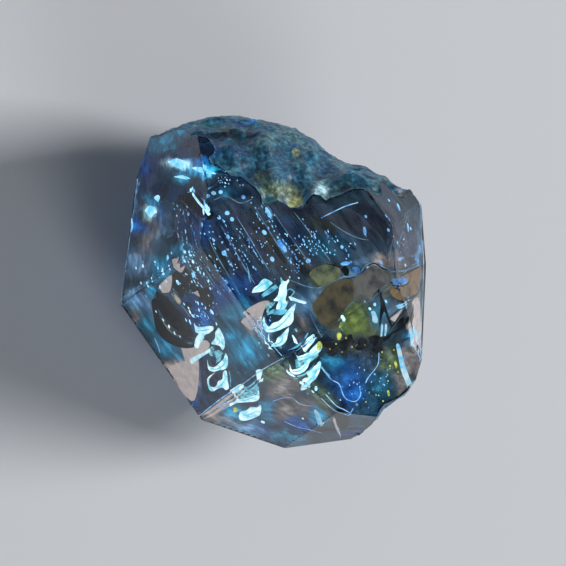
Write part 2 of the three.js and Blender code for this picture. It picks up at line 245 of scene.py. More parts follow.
# Painted shade: dark areas under the rough side's edge, and the dark slots and corners of the
# stepped hollows.
SHADE_SLOTS = [
    [(176, 151), (192, 147), (212, 142), (230, 137), (236, 141), (226, 149), (208, 153), (192, 157.5),
     (180, 157)],
    [(150, 190), (156, 183), (166, 181), (175, 186), (184, 186), (190, 191), (178, 196), (172, 203),
     (164, 198), (158, 201)],
    [(215, 172), (226, 170), (238, 174), (246, 181), (236, 179), (226, 176)],
    [(258, 296), (262, 291.5), (270, 288), (277, 283.5), (279, 287.5), (272, 293), (263, 299)],
    [(284, 357), (290, 352), (297, 345.5), (298.5, 348), (292, 355), (286, 359.5)],
    [(210.5, 362), (214, 365.5), (218, 362.5), (221, 358.5), (215, 355), (211, 357)],
    [(210.5, 380), (212, 385), (215, 386), (217, 381), (220.5, 377), (217, 374.5), (213, 377)],
    [(266, 316), (267, 323), (270, 325.5), (272, 321), (269, 316)],
    [(244, 404), (251, 403.5), (258, 402.5), (257.5, 405.5), (250, 406), (245, 408)],
    [(307, 374), (311.5, 368), (317, 360.5), (319, 356), (321, 360), (314, 366.5), (310.5, 371.5)],
    [(199, 357), (206, 354), (208, 372), (228, 392), (222, 399), (204, 413), (199.5, 405), (203, 380)],
    [(405, 334), (402.5, 339), (398, 344), (401.5, 342.5), (405, 338.5)],
]
# Bitumen that shows black: plates over the layered flake and the clumped rim, and a few beside them.
# The plate over the black void near the top left is painted shade.
BLACK_PLATES = [
    [(172, 277), (176, 271), (181, 273.5), (185, 271), (190, 279), (188, 284), (194, 285), (198, 289),
     (193, 292.5), (186, 290), (182, 298), (176, 290), (172.5, 286)],
    [(196, 286), (203, 288.5), (207, 287), (211, 293), (214.5, 297), (212, 303), (209, 310), (205, 302),
     (199, 300), (200.5, 294)],
    [(151.5, 303), (155, 298), (158, 304), (159, 314), (164, 323), (170, 333), (180, 339), (190, 344.5),
     (196, 342.5), (195, 347), (183, 348), (169, 343), (159, 334), (154, 321)],
    [(162, 300), (167, 296), (171, 303), (178, 310), (183, 318), (190, 326), (194, 336.5), (189, 335),
     (182, 328.5), (173, 319), (167, 310)],
    [(177, 331), (183, 333), (188, 337.5), (192, 339), (189, 342), (181, 338.5)],
    [(184, 303), (188, 302), (192, 306), (189, 309), (185, 307)],
    [(316, 336), (321, 341.5), (328, 342), (333, 340), (337, 345), (332, 349.5), (324, 346.5),
     (318, 342)],
    [(338, 343), (344, 340), (350, 334), (353, 339), (350, 346), (345, 351), (339, 348)],
    [(353, 340), (357, 342), (362, 337), (367, 341), (366, 347), (358, 350), (354, 346)],
    [(368, 338), (376, 335), (384, 338), (391, 333), (388, 339), (380, 344), (371, 345.5)],
    [(326, 352), (331, 350.5), (336, 353), (333, 356), (328, 355.5)],
    [(372, 350), (378, 347), (383, 349), (379, 352.5), (374, 353)],
    [(377.5, 285), (379.5, 290), (382, 296), (388, 313), (392, 325), (389, 324), (384, 311), (380.5, 325),
     (379, 324), (380.5, 305), (379.5, 296)],
    [(341, 270), (345, 265.5), (349, 270), (348, 275.5), (343, 275)],
    # The black void near the top left: painted shade in the bitumen's look.
    [(180.4, 198), (192.9, 192), (204, 202), (214.3, 215.7), (205.4, 219.3), (192, 209)],
    [(330, 402), (334, 408), (340, 409), (347, 413), (349, 424), (343, 432), (338, 424), (334, 415)],
]
# Thin black threads: the blade's two edges, and threads of the flake, the pocket and the film.
BLACK_LINES = [
    [(413, 304, 0.8), (413.4, 309, 1.6), (410.5, 316, 2.2), (405, 324, 2.4), (398, 330, 2.4),
     (391, 333.5, 1.4)],
    [(410, 306.5, 0.8), (404, 311.5, 1.2), (398, 319, 1.4), (392.5, 326, 1.6), (389, 331, 1)],
    [(154, 295, 1), (156.5, 310, 2), (158, 322, 2), (162, 333, 2), (171, 341, 2), (183, 346, 1.6),
     (196, 344, 1)],
    [(366, 267, 0.8), (371, 264, 1.2), (376, 264, 1.2), (382, 268, 1.4), (388, 270, 0.8)],
    [(392, 285, 0.8), (398, 286, 1.4), (404, 285.5, 1.4), (409, 282, 1.2), (410, 277, 0.6)],
    [(421.5, 266, 0.6), (412, 270.5, 1.3), (404, 274.5, 1.3), (400, 277, 0.6)],
    [(421, 285, 0.6), (418, 293, 1.2), (411, 298, 1.4), (402, 299.5, 0.6)],
    [(326, 263.5, 0.6), (334, 265.5, 1.1), (340, 267, 0.9)],
    [(343, 279, 0.6), (350, 278, 1.0), (356, 277, 0.5)],
    [(389, 318, 0.7), (397, 311, 0.9), (404, 305.5, 0.8), (413, 300, 0.6)],
    [(410, 337, 0.8), (405, 340, 1.4), (401, 343, 0.8)],
    [(192, 250, 1), (206, 268, 1.8), (220, 285, 1.8), (231, 297, 1)],
    [(176, 200, 1), (184, 206, 2), (192, 215, 2), (198, 224, 1)],
]
# Beads close under the faces, on the flake, round the droplet and at the left: as the beads above.
PLATE_BEADS = [
    (184, 304, 3.5, 2, 60), (188.5, 308, 3, 2, 60), (190, 312, 5, 2.2, 65), (193, 316, 4.5, 3, 40),
    (199, 310, 5, 2, 80), (198, 303, 4, 1.6, 75), (202, 304, 3, 1.4, 75), (205.5, 308, 3.5, 1.4, 80),
    (205, 316, 2.6, 1.6, 80), (212, 312, 6, 3.6, 60), (196, 302, 3, 1.2, 70), (186, 320, 4, 1.4, 70),
    (190, 322, 6, 2, 70), (197.5, 316, 5, 1.8, 15), (163.2, 320, 4, 2, 65), (169, 326.5, 4.5, 2.6, 80),
    (174.5, 333, 5, 1.6, 75), (180, 336.5, 3, 2, 60), (156, 311.5, 3, 1.6, 70),
    (208.3, 281.3, 4.2, 1.8, 88), (203.8, 274, 4.5, 1.8, 88), (198, 268.5, 5.5, 2, 88),
    (192.8, 261.8, 4.2, 2.6, 70), (185.8, 274, 2.4, 1.6, 60), (177.7, 282.5, 6, 4, 65),
    (191.8, 281.8, 3, 1.8, 75), (210.3, 288.5, 3, 2, 60), (208.6, 295.6, 2.2, 1.6, 60),
    (374.8, 304.5, 4, 2.6, 85), (369.8, 308.8, 4, 2.4, 50), (343.8, 319.3, 5.5, 3.4, 75),
    (386, 301.5, 5, 1.8, 60), (143, 266, 5, 3.4, 60), (158, 268, 4.5, 3, 70), (163, 273, 5, 3, 60),
    (152, 281, 3, 1.8, 60), (148, 286, 3.4, 2, 60), (141, 283, 4, 1.8, 70), (166, 281, 4, 2.2, 60),
    (155, 262, 4, 1.8, 60), (160, 287, 4, 2, 70), (146, 296, 3, 1.6, 70), (136, 268, 4, 1.8, 70),
    (169, 266, 4, 2, 60), (171.5, 253, 4, 2, 70), (185, 252, 5, 2.6, 60), (183, 258, 4, 2.4, 60),
    (190, 255, 3.4, 2, 60), (316, 388.4, 6, 3, 88), (262.8, 422, 5.4, 4.2, 50), (302.8, 418.5, 4, 2, 80),
    (216.4, 324, 4, 2, 70),
]
# Thin tan and olive streaks between the flake's plates: pixels and widths.
PLATE_STREAKS = [
    [(157.5, 300, 1), (162, 308, 2.6), (168, 317, 2.2), (176, 327, 2.6), (181, 332, 1)],
    [(161, 318, 1), (166, 326, 1.8), (173, 333, 1.4), (179, 336, 1)],
    [(160, 306, 0.6), (163, 314, 1.2), (168, 322, 0.8)],
    [(171.5, 293.5, 1), (175, 299, 1.6), (179, 304, 1.6), (180.8, 301, 1.2), (177.5, 296, 1.2),
     (173, 292.5, 1)],
    [(181.5, 305, 1), (186, 311, 2), (190, 317, 1)],
    [(172, 323, 1), (177, 328, 1.6), (181.5, 333, 1)],
]
# Flat panes of the inner walls that shine pale tan, pink or olive, as outlines.
TAN_PANES = [
    [(159, 287), (163, 281.5), (171.5, 275), (171.5, 285), (169, 292), (160, 292)],
    [(172, 260), (177, 258.5), (180, 263), (180, 268), (185, 265.5), (182, 272), (178.5, 271),
     (174, 267)],
    [(189.5, 287), (196, 290.5), (202, 292.5), (202, 297), (196, 294.5), (191, 290)],
    [(174, 294.5), (177.5, 297), (180.5, 301), (178.5, 303.3), (175.5, 299)],
    [(156, 298), (163, 306), (171, 316), (181, 327), (178.5, 327.5), (168, 317.5), (159, 306)],
    [(168, 368), (183, 362), (197, 359), (199, 372), (197, 392), (193, 401), (184, 394), (175, 382)],
    [(199, 418), (212, 408), (226, 397), (236, 391), (243, 385.5), (236, 397), (222, 409), (210, 417)],
    [(241, 322), (250, 315), (257, 318), (256, 327), (248, 330)],
    [(246, 311), (254, 305), (263, 301), (270, 301.5), (266, 307), (263, 313), (261.5, 322), (262, 330),
     (256, 326), (250, 318)],
    [(181, 347), (194, 345), (205, 340), (210, 345), (205, 352), (196, 358), (187, 362), (184, 356)],
    [(333, 421), (334.5, 417.5), (337, 425), (339, 433), (336.5, 431)],
    [(390, 319), (397, 313.5), (402.5, 308.5), (398, 316), (393, 323.5)],
    [(412, 302), (419, 299), (420.5, 330), (419, 352), (413, 345), (412, 325), (414.5, 312)],
]
# The big pocket's oil where it shows brown, where it shows grey, and the olive hollow beside it.
POCKET_BROWN = [
    [(312, 307), (318, 297), (329, 284.5), (344, 280), (352, 279), (354, 290), (352, 300), (345, 310),
     (341, 321), (336, 329), (326, 328), (316, 318)],
]
POCKET_GREY = [
    [(353, 279), (362, 273.5), (369, 267), (376, 265.5), (384, 272), (394, 276.5), (400, 276.5),
     (394, 284), (383, 290), (375, 296), (365, 300), (354, 300), (354.5, 290)],
]
OLIVE_PANES = [
    [(309, 275), (316, 267.5), (327, 264.5), (337, 267), (340.5, 270), (340, 278), (333, 281), (325, 286),
     (317, 286)],
]
# Teal masses of oil in the stepped hollows, and two blue panes by the big pocket.
TEAL_PANES = [
    [(266, 306), (270, 303), (275, 301.5), (274, 305), (270, 308), (268, 313), (266, 311)],
    [(276, 309), (281, 305), (288, 300.5), (287, 305), (283, 307), (285, 310), (279, 313), (272, 315.5),
     (275, 311)],
    [(295, 360), (304, 357.5), (310, 353), (316, 350), (318, 356), (310, 362), (302, 366), (294, 367)],
    [(207.5, 350), (213, 346), (214.5, 349), (212, 352), (213, 356), (209, 355)],
    [(214, 353), (219, 350), (223, 353.5), (220.5, 356), (221, 360), (216, 363), (217.5, 358)],
    [(238, 392), (247, 392), (257, 386), (259, 391), (254, 395), (246, 398), (239, 398)],
    [(308, 375), (314, 368), (319, 361), (321, 364), (315, 372), (309, 379)],
]
BLUE_PANES = [
    [(394, 283.5), (397, 280), (401, 277), (406, 278.5), (408, 281.5), (404, 284.5), (398, 285)],
    [(352, 268), (357, 267), (360, 270), (358, 274), (353, 273)],
]
# Dark brown panes of the inner walls on the right.
BROWN_PANES = [
    [(394, 297), (390, 292), (393, 286), (404, 275), (411, 271.5), (421, 267), (420.5, 276), (417, 290),
     (411, 295.5), (403, 298)],
]
# Painted highlights: bright lines along the crystal's outer edges: pixels and widths.
EDGE_HIGHLIGHTS = [
    [(141, 148, 0.6), (137.5, 180, 1.6), (133, 215, 0.8), (128, 250, 1.2), (123.5, 280, 0.6),
     (121, 303, 1.0)],
    [(121.5, 308, 1.0), (128, 321, 0.5), (150, 351, 0.9), (170, 380, 0.5), (196, 416, 1.0)],
    [(199, 420, 0.8), (209, 432, 1.4), (240, 443, 0.5), (272, 451, 1.2), (290, 452, 0.6)],
    [(413, 194, 0.8), (420, 205, 1.6), (421.5, 235, 0.6), (423.5, 258, 1.6), (423, 290, 0.8),
     (420.5, 340, 1.4), (419, 372, 0.8), (412, 390, 1.6)],
    [(243, 384, 0.6), (262, 370, 0.9), (283, 358, 0.5)],
    [(246, 320, 1.4), (262, 334, 1.0), (282, 356, 0.6)],
    [(199, 416, 0.8), (222, 398, 1.4), (243, 384, 1.0)],
]
# Painted highlights: pale panes at the right and left edges and bright flares at the upper left;
# and yellow drops.
PALE_HIGHLIGHTS = [
    [(396, 346), (399.5, 345), (404, 362), (410, 379), (413.5, 388), (411, 393), (405, 381), (399, 364)],
    [(314, 411), (317, 410.5), (321.5, 420), (322, 426), (316, 422)],
    [(409, 330), (415, 326), (417, 338), (414, 347), (409.5, 342)],
    [(132, 204), (135, 180), (139, 157), (142.5, 160), (139.5, 184), (136, 206)],
    [(396, 306), (400, 304.3), (404.5, 303.2), (404.5, 306), (401, 308.3), (397, 308.2)],
    [(371, 312), (374.5, 311), (377.5, 318), (377, 323), (372.5, 321.5), (372.5, 316)],
    [(381, 325), (383, 325), (382, 335.5), (380, 335)],
    [(385, 324.5), (387, 325), (386, 334.5), (383.8, 334.5)],
]
FLARES = [
    [(168, 162), (172, 160.5), (176, 158.5), (182, 160), (189, 163), (186, 166), (180, 168), (174, 166)],
    [(145, 211), (149, 206), (153, 207), (157, 212), (154, 214), (151, 217), (148, 215)],
    [(192, 168), (200, 167), (209, 170), (216, 174), (206, 173.5), (197, 171.5)],
    [(174, 177), (183, 175.5), (190, 178.5), (183, 179.5)],
    [(154, 198), (158, 195), (160, 198), (157, 203)],
    [(129, 222), (131.5, 218), (133, 226), (130.5, 233)],
]
YELLOW_PANES = [
    [(336.5, 334), (339.5, 332.5), (341.5, 335), (340, 339.5), (336.5, 339)],
    [(317, 344), (320, 341.5), (322, 345), (319.5, 350), (316, 348.5)],
    [(394, 362.5), (396, 361), (397.3, 366), (395, 368.5)],
    [(233.5, 408), (236.5, 407.5), (237.5, 411), (235, 412), (233, 410.5)],
    [(387, 391), (389, 390.5), (389.5, 395), (387.5, 396)],
]
# Fine bright lines: cracks and the rims of healed fractures.
CRACKS = [
    [(185.7, 362.2), (199.1, 359.3), (209.7, 350.7)],
    [(222, 410), (235.5, 402.4), (246, 400.6)],
    [(272.8, 401.4), (284.3, 397.6), (292.9, 398.5), (300.5, 404.3), (312, 406.2)],
    [(284.3, 421.5), (297.7, 427.2), (309, 429.5), (321.6, 433)],
    [(320.6, 366.7), (330.8, 379), (339, 384), (343, 394.3), (347, 399.4), (355.3, 401.4), (360.4, 395.3),
     (359.4, 386.1)],
    [(325.7, 394.3), (335.9, 405.5), (344, 409.6), (351.2, 413.7)],
    [(333.9, 421.8), (338, 428), (340.5, 437)],
    [(378.8, 351.4), (377.8, 364.7), (368.6, 377), (365.5, 383)],
    [(154.5, 338), (158, 346), (160, 353)],
    [(321, 218), (332, 212.5), (346, 206), (358, 202.5)],
]
# Yellow-green sparks below the droplet and along the lower right: pixel and size.
YELLOW_SPECKS = [
    (346, 338, 2.4), (336, 344, 2.0), (352, 347, 2.2), (365, 345, 1.8), (330, 349, 2.0), (342, 352, 1.6),
    (382, 352, 2.0), (390, 366, 2.4), (376, 395, 2.0), (383, 401, 2.2), (398, 372, 1.8), (372, 356, 1.6),
    (388, 381, 2.0), (366, 402, 1.8), (394, 350, 2.2), (259, 343, 2.6), (261, 348, 1.8), (340, 327, 2.2),
]
# Areas strewn with tiny glints: pixel in the middle, reach along and across, slant anticlockwise
# from the right, and how many.
GLINTS = [
    (322, 243, 40, 18, -4, 60), (240, 250, 44, 28, 58, 70), (193, 270, 24, 16, 60, 44),
    (404, 236, 22, 8, 80, 14), (205, 315, 16, 12, 60, 34), (352, 384, 24, 18, 20, 18),
    (380, 385, 28, 16, 40, 18), (300, 262, 24, 8, 40, 22), (160, 272, 14, 10, 40, 22),
    (232, 182, 22, 6, -10, 20), (265, 320, 16, 12, 50, 18),
]
# Teal lines on the bright shelves: pixels and widths.
STEP_LINES = [
    [(196.5, 331, 0.8), (203, 330.5, 1.4), (210, 329, 0.8)],
    [(218, 334, 0.6), (219.5, 341, 1.2), (218, 345, 0.6)],
    [(210, 368.5, 0.6), (217, 369, 1.2), (224, 364, 1.2), (226, 357, 0.6)],
    [(211.5, 388.5, 0.6), (218, 387, 1.0), (223, 383, 1.2), (226, 376, 0.6)],
    [(236, 401, 0.6), (246, 400, 1.3), (256, 396.5, 0.8)],
    [(241, 415.5, 0.6), (248, 415, 1.4), (257, 411, 0.8)],
    [(255, 290, 0.6), (261, 285.5, 1.2), (268, 282, 0.8)],
    [(280, 300, 0.8), (282, 305, 1.6), (279.5, 311, 0.8)],
    [(266, 329, 0.6), (275, 328.5, 1.4), (284, 322, 1.4), (291, 313, 0.8)],
    [(283, 337, 0.6), (281, 342, 1.4), (274, 345, 0.8)],
    [(305, 347, 0.6), (309, 341.5, 1.2), (313, 337, 0.6)],
    [(297, 358, 0.6), (303, 357.2, 1.0), (309, 354.5, 0.6)],
    [(292, 371.5, 0.6), (299, 371, 1.4), (306, 365.5, 1.0)],
    [(304, 386, 0.6), (309, 380.5, 1.4), (315, 374, 1.2), (318, 367, 0.6)],
]
# Teal and cyan bands, loops and curls between the shelves: pixels and widths.
TEAL_BANDS = [
    [(210, 349, 1), (212, 352.5, 1.6), (216, 351, 1.4), (220.5, 353.5, 1.6), (220.5, 358, 1.6),
     (216, 361, 1)],
    [(244, 389, 1), (249, 390, 2.2), (255, 386.5, 2.2), (258.5, 382, 1)],
    [(245, 395, 1), (251, 393, 1.8), (256, 391, 1.8), (258.5, 387, 1)],
    [(247.2, 267, 0.8), (248.6, 272, 1.2), (249.5, 278.5, 1.2), (251, 282, 0.8)],
    [(262, 296, 3), (269, 291.5, 5), (277, 286, 4)],
    [(267, 315, 1), (273, 311.5, 4), (281, 312, 6), (287, 310, 2)],
    [(286, 292, 0.8), (290, 289, 1.4), (294, 292, 1.4), (291, 296, 0.8)],
    [(321, 366, 0.7), (325, 371, 1.2), (330, 376, 0.7)],
    [(295, 328.5, 2.4), (296, 330, 2.4), (297, 332, 1.2)],
    [(288, 350, 1), (296, 347, 2), (303, 340.5, 2), (308, 333, 1)],
    [(297, 376.5, 1), (303, 375, 2), (309, 371, 2), (314, 364.5, 1)],
    [(229, 371, 1), (230.5, 379, 1.6), (230, 387, 1)],
]
# Bright specks away from the film: pixel and size.
SPECKS = [
    (268.5, 355.5, 4), (316.8, 388.5, 4), (262.3, 422.0, 4.5), (210.6, 413.8, 4), (186.2, 364.1, 3),
    (302.5, 418.6, 3), (346.6, 383, 3.5), (353.8, 382, 3), (356.8, 404.5, 3.5), (348.7, 372.3, 3),
    (374.7, 304, 4), (400.2, 305, 6), (369.6, 308.6, 3.5), (296, 436, 3), (139, 268, 2.5), (178, 258, 4),
    (126, 271, 3), (134, 302, 3.5), (166, 345, 4), (143, 262, 4), (339, 336, 3.5),
]
# Soft patches of colour in the veils: pixel, reach along and across, slant anticlockwise from the
# right, colour, glow and cover. The ICE and CYAN patches are painted highlights, and the INK ones
# along the rough side's edge at the top left are painted shade.
PATCHES = [
    (178.6, 163.6, 12, 5, 4, ICE, 1.6, 1.0), (203, 169, 14, 5, -8, CYAN, 1.1, 0.9),
    (181, 177.5, 8, 3, 8, CYAN, 0.8, 0.8), (192, 159, 24, 3.5, 0, BLUE, 0.6, 0.9),
    (150.5, 211.5, 6, 7, 70, ICE, 0.9, 1.0), (152, 199, 4, 6, 60, CYAN, 0.8, 0.8),
    (135, 226, 5, 11, 75, BLUE, 0.9, 0.9), (187, 151, 24, 5, 8, INK, 1, 0.95),
    (212, 140, 20, 6, 0, INK, 1, 1.0), (200, 150, 26, 5, 5, INK, 1, 1.0),
    (150, 182, 9, 24, -12, PLUM, 1.2, 0.9), (136, 180, 4, 28, -8, LILAC, 1.1, 0.9),
    (166, 172, 9, 8, 0, SLATE, 0.8, 0.8), (185, 128, 10, 6, 10, CYAN, 0.45, 0.8),
    (165, 141, 11, 8, 15, TEAL, 1.2, 0.9), (150, 150, 10, 6, 20, TEAL, 0.8, 0.8),
    (148, 240, 8, 22, -20, TAN, 0.45, 0.9), (160, 232, 7, 22, -20, LILAC, 0.6, 0.8),
    (172, 190, 9, 12, 0, SLATE, 0.9, 0.8), (137, 262, 12, 12, 50, LILAC, 1.0, 0.85),
    (161, 268, 8, 9, 50, CYAN, 0.5, 0.85), (180, 250, 9, 6, 20, CYAN, 0.6, 0.85),
    (152, 289, 4, 5, 0, CYAN, 0.9, 0.9), (143, 282, 7, 9, 30, PLUM, 1, 0.8),
    (139, 302, 10, 8, -40, LILAC, 1.3, 0.9), (150, 327, 13, 6, -50, TEAL, 1.2, 0.85),
    (166, 345, 9, 7, -50, CYAN, 0.6, 0.85), (178, 357, 9, 5, -40, TEAL, 1.2, 0.85),
    (189, 352, 9, 5, 10, LILAC, 0.8, 0.8), (182, 380, 14, 13, -55, TAN, 1.05, 1.0),
    (180, 366, 12, 5, 20, TAN, 0.9, 0.95), (202, 384, 4, 19, -4, DEEP_BLUE, 0.9, 0.95),
    (211, 397, 12, 5, 38, INK, 1, 0.95), (193, 404, 7, 5, -50, BLUE, 0.5, 0.85),
    (247, 350, 13, 15, 0, CYAN, 0.62, 0.95), (243, 372, 12, 9, 30, SLATE, 1, 0.8),
    (238, 315, 13, 13, 30, TEAL, 1.1, 0.85), (236, 335, 9, 8, 35, CYAN, 0.35, 0.8),
    (262, 328, 7, 8, 35, LILAC, 0.9, 0.8), (218, 408, 18, 4, 38, TAN, 0.8, 0.95),
    (222, 419, 18, 5, -12, TAN, 0.55, 0.95), (248, 429, 20, 6, -14, LILAC, 1.3, 0.95),
    (226, 432, 10, 5, -20, TEAL, 1.6, 0.9), (232, 414, 8, 5, 0, CYAN, 0.75, 0.85),
    (284, 386, 14, 9, 38, TAN, 0.72, 0.92), (275, 372, 10, 6, 38, OLIVE, 1.3, 0.9),
    (290, 410, 17, 7, 8, TAN, 0.52, 0.9), (268, 409, 7, 9, 0, CYAN, 0.45, 0.85),
    (300, 424, 14, 5, -14, BLUE, 0.6, 0.85), (318, 417, 6, 8, 60, CYAN, 0.7, 0.9),
    (262, 432, 8, 6, 0, DEEP_BLUE, 0.8, 0.9), (287, 438, 20, 5, -8, TEAL, 1, 0.9),
    (318, 437, 8, 6, 0, INK, 1, 0.8), (280, 358, 12, 5, 32, INK, 1, 0.9),
    (270, 362, 8, 6, 30, SLATE, 0.8, 0.8), (301, 325, 6, 15, 0, TAN, 0.28, 0.9),
    (250, 329, 13, 5, -40, TAN, 0.5, 0.9), (230, 336, 7, 6, 0, CYAN, 0.7, 0.9),
    (308, 305, 12, 12, 30, LILAC, 0.95, 0.9), (322, 291, 12, 5, 30, LILAC, 0.8, 0.85),
    (245, 285, 12, 14, 50, DEEP_BLUE, 0.9, 0.8), (228, 290, 10, 10, 50, BLUE, 0.5, 0.7),
    (326, 274, 14, 6, 20, OLIVE, 0.65, 0.85), (347, 276, 10, 4, 0, LILAC, 1.1, 0.8),
    (378, 261, 9, 6, 20, TAN, 0.75, 0.9), (359, 263, 14, 4, 20, LILAC, 0.7, 0.8),
    (330, 303, 13, 13, 40, UMBER, 0.8, 0.95), (345, 293, 14, 10, 30, UMBER, 1.0, 0.95),
    (371, 284, 18, 11, 10, LILAC, 0.32, 0.9), (385, 283, 10, 10, 30, UMBER, 1.3, 0.9),
    (356, 320, 15, 13, 20, MOSS, 1.0, 0.95), (345, 327, 9, 7, 0, MOSS, 1.5, 0.9),
    (362, 328, 11, 8, 0, MOSS, 1.1, 0.9), (331, 325, 8, 10, 40, SLATE, 1, 0.8),
    (350, 344, 28, 6, 0, INK, 1.5, 0.9), (345, 348, 10, 5, 20, UMBER, 0.5, 0.9),
    (379, 313, 8, 12, 0, TEAL, 1.2, 0.8), (391, 310, 6, 7, 0, LILAC, 0.8, 0.8),
    (347, 377, 16, 14, 20, BLUE, 0.55, 0.95), (333, 362, 9, 6, 0, CYAN, 0.6, 0.85),
    (356, 395, 9, 8, 0, BLUE, 0.75, 0.9), (366, 362, 11, 9, 40, LILAC, 0.35, 0.85),
    (336, 380, 5, 14, -50, SLATE, 1, 0.8), (389, 362, 10, 12, 0, OLIVE, 0.8, 0.9),
    (380, 385, 14, 10, 40, TEAL, 0.8, 0.85), (365, 410, 24, 10, 33, SLATE, 0.9, 0.85),
    (340, 415, 6, 12, -20, INK, 1, 0.9), (322, 398, 20, 6, -52, OLIVE, 0.7, 0.9),
    (405, 366, 5, 20, -15, TAN, 0.7, 0.9), (411, 388, 4, 7, -15, ICE, 0.8, 0.95),
    (416, 330, 5, 30, 0, TAN, 0.85, 0.95), (411, 336, 5, 7, 0, CYAN, 0.7, 0.9),
    (406, 243, 11, 22, 8, PLUM, 1.5, 0.9), (398, 262, 10, 8, 20, TAN, 0.4, 0.85),
    (404, 287, 12, 9, 20, UMBER, 0.5, 1.0), (419, 250, 3, 22, 0, LILAC, 1.0, 0.9),
    (330, 245, 20, 10, 10, TEAL, 0.5, 0.5), (293, 238, 18, 8, -62, BLUE, 0.14, 0.5),
    (222, 232, 18, 7, -62, BLUE, 0.12, 0.5), (196, 228, 14, 18, 60, DEEP_BLUE, 0.7, 0.6),
    (238, 262, 30, 6, -62, PLUM, 1.3, 0.6), (272, 250, 30, 6, -62, UMBER, 0.45, 0.6),
    (250, 236, 26, 5, -62, PLUM, 1.5, 0.6), (340, 224, 26, 8, -10, UMBER, 0.35, 0.6),
    (306, 262, 22, 6, -50, UMBER, 0.4, 0.6), (216, 262, 22, 5, -62, UMBER, 0.45, 0.6),
    (352, 429, 28, 8, 8, SLATE, 0.7, 1.0), (330, 441, 20, 6, 8, INK, 1, 0.95),
    (373, 425, 10, 6, 30, TEAL, 0.5, 1.0), (364, 222, 22, 14, 10, PLUM, 0.9, 0.7),
    (300, 208, 16, 6, 0, PLUM, 0.7, 0.6), (188, 305, 6, 5, 0, BLUE, 0.5, 0.6),
    (203, 318, 8, 12, 0, BLUE, 0.55, 0.8), (192, 324, 9, 7, 0, DEEP_BLUE, 1, 0.7),
    (403, 321, 11, 13, 0, INK, 1, -0.9), (184, 222, 8, 24, -15, PLUM, 0.5, 0.95),
    (196, 214, 7, 16, 0, INK, 1, 0.9), (352, 350, 24, 7, 0, UMBER, 0.35, 0.98),
    (160, 306, 5, 14, -40, LILAC, 0.7, 0.9), (133, 322, 4, 12, -35, TAN, 0.4, 0.85),
    (170, 232, 5, 14, -15, SLATE, 0.8, 0.9), (146, 172, 5, 12, -8, DEEP_BLUE, 1.2, 0.95),
    (168, 150, 12, 3, 8, CYAN, 0.35, 0.9), (160, 216, 5, 10, -15, DEEP_BLUE, 1.4, 0.9),
    (222, 184, 14, 5, 25, INK, 1, 0.95), (240, 194, 10, 4, -10, INK, 1, 0.85),
    (226, 193, 7, 4, 0, TEAL, 1.2, 0.8), (181, 243, 7, 12, -30, PLUM, 0.6, 0.9),
    (214, 300, 16, 9, 55, DEEP_BLUE, 0.8, 0.8),
]
# The veils' base between the patches: a dark colour, painted shade that dims the whole crystal,
# and its cover. A patch with a negative cover clears them.
VEIL_SHADE_BASE = (0.03, 0.06, 0.085)
VEIL_COVER = 0.5
VEIL_DEPTH = 0.6 * MM
VEIL_WAVE = 0.25
VEIL_WAVE_SIZE = 1.6 * MM
VEIL_STEP = 2
VEIL_COLUMNS = range(100, 440, VEIL_STEP)
VEIL_ROWS = range(100, 460, VEIL_STEP)
# How patches blend: the base's weight, the steepness of their edges, the least weight that counts,
# and the size and strength, in pixels, of the wide and the fine drift that make them uneven.
BASE_WEIGHT = 0.12
EDGE_POWER = 1.3
LEAST_WEIGHT = 0.01
WIDE_DRIFT = (14, 5)
FINE_DRIFT = (5, 2.5)

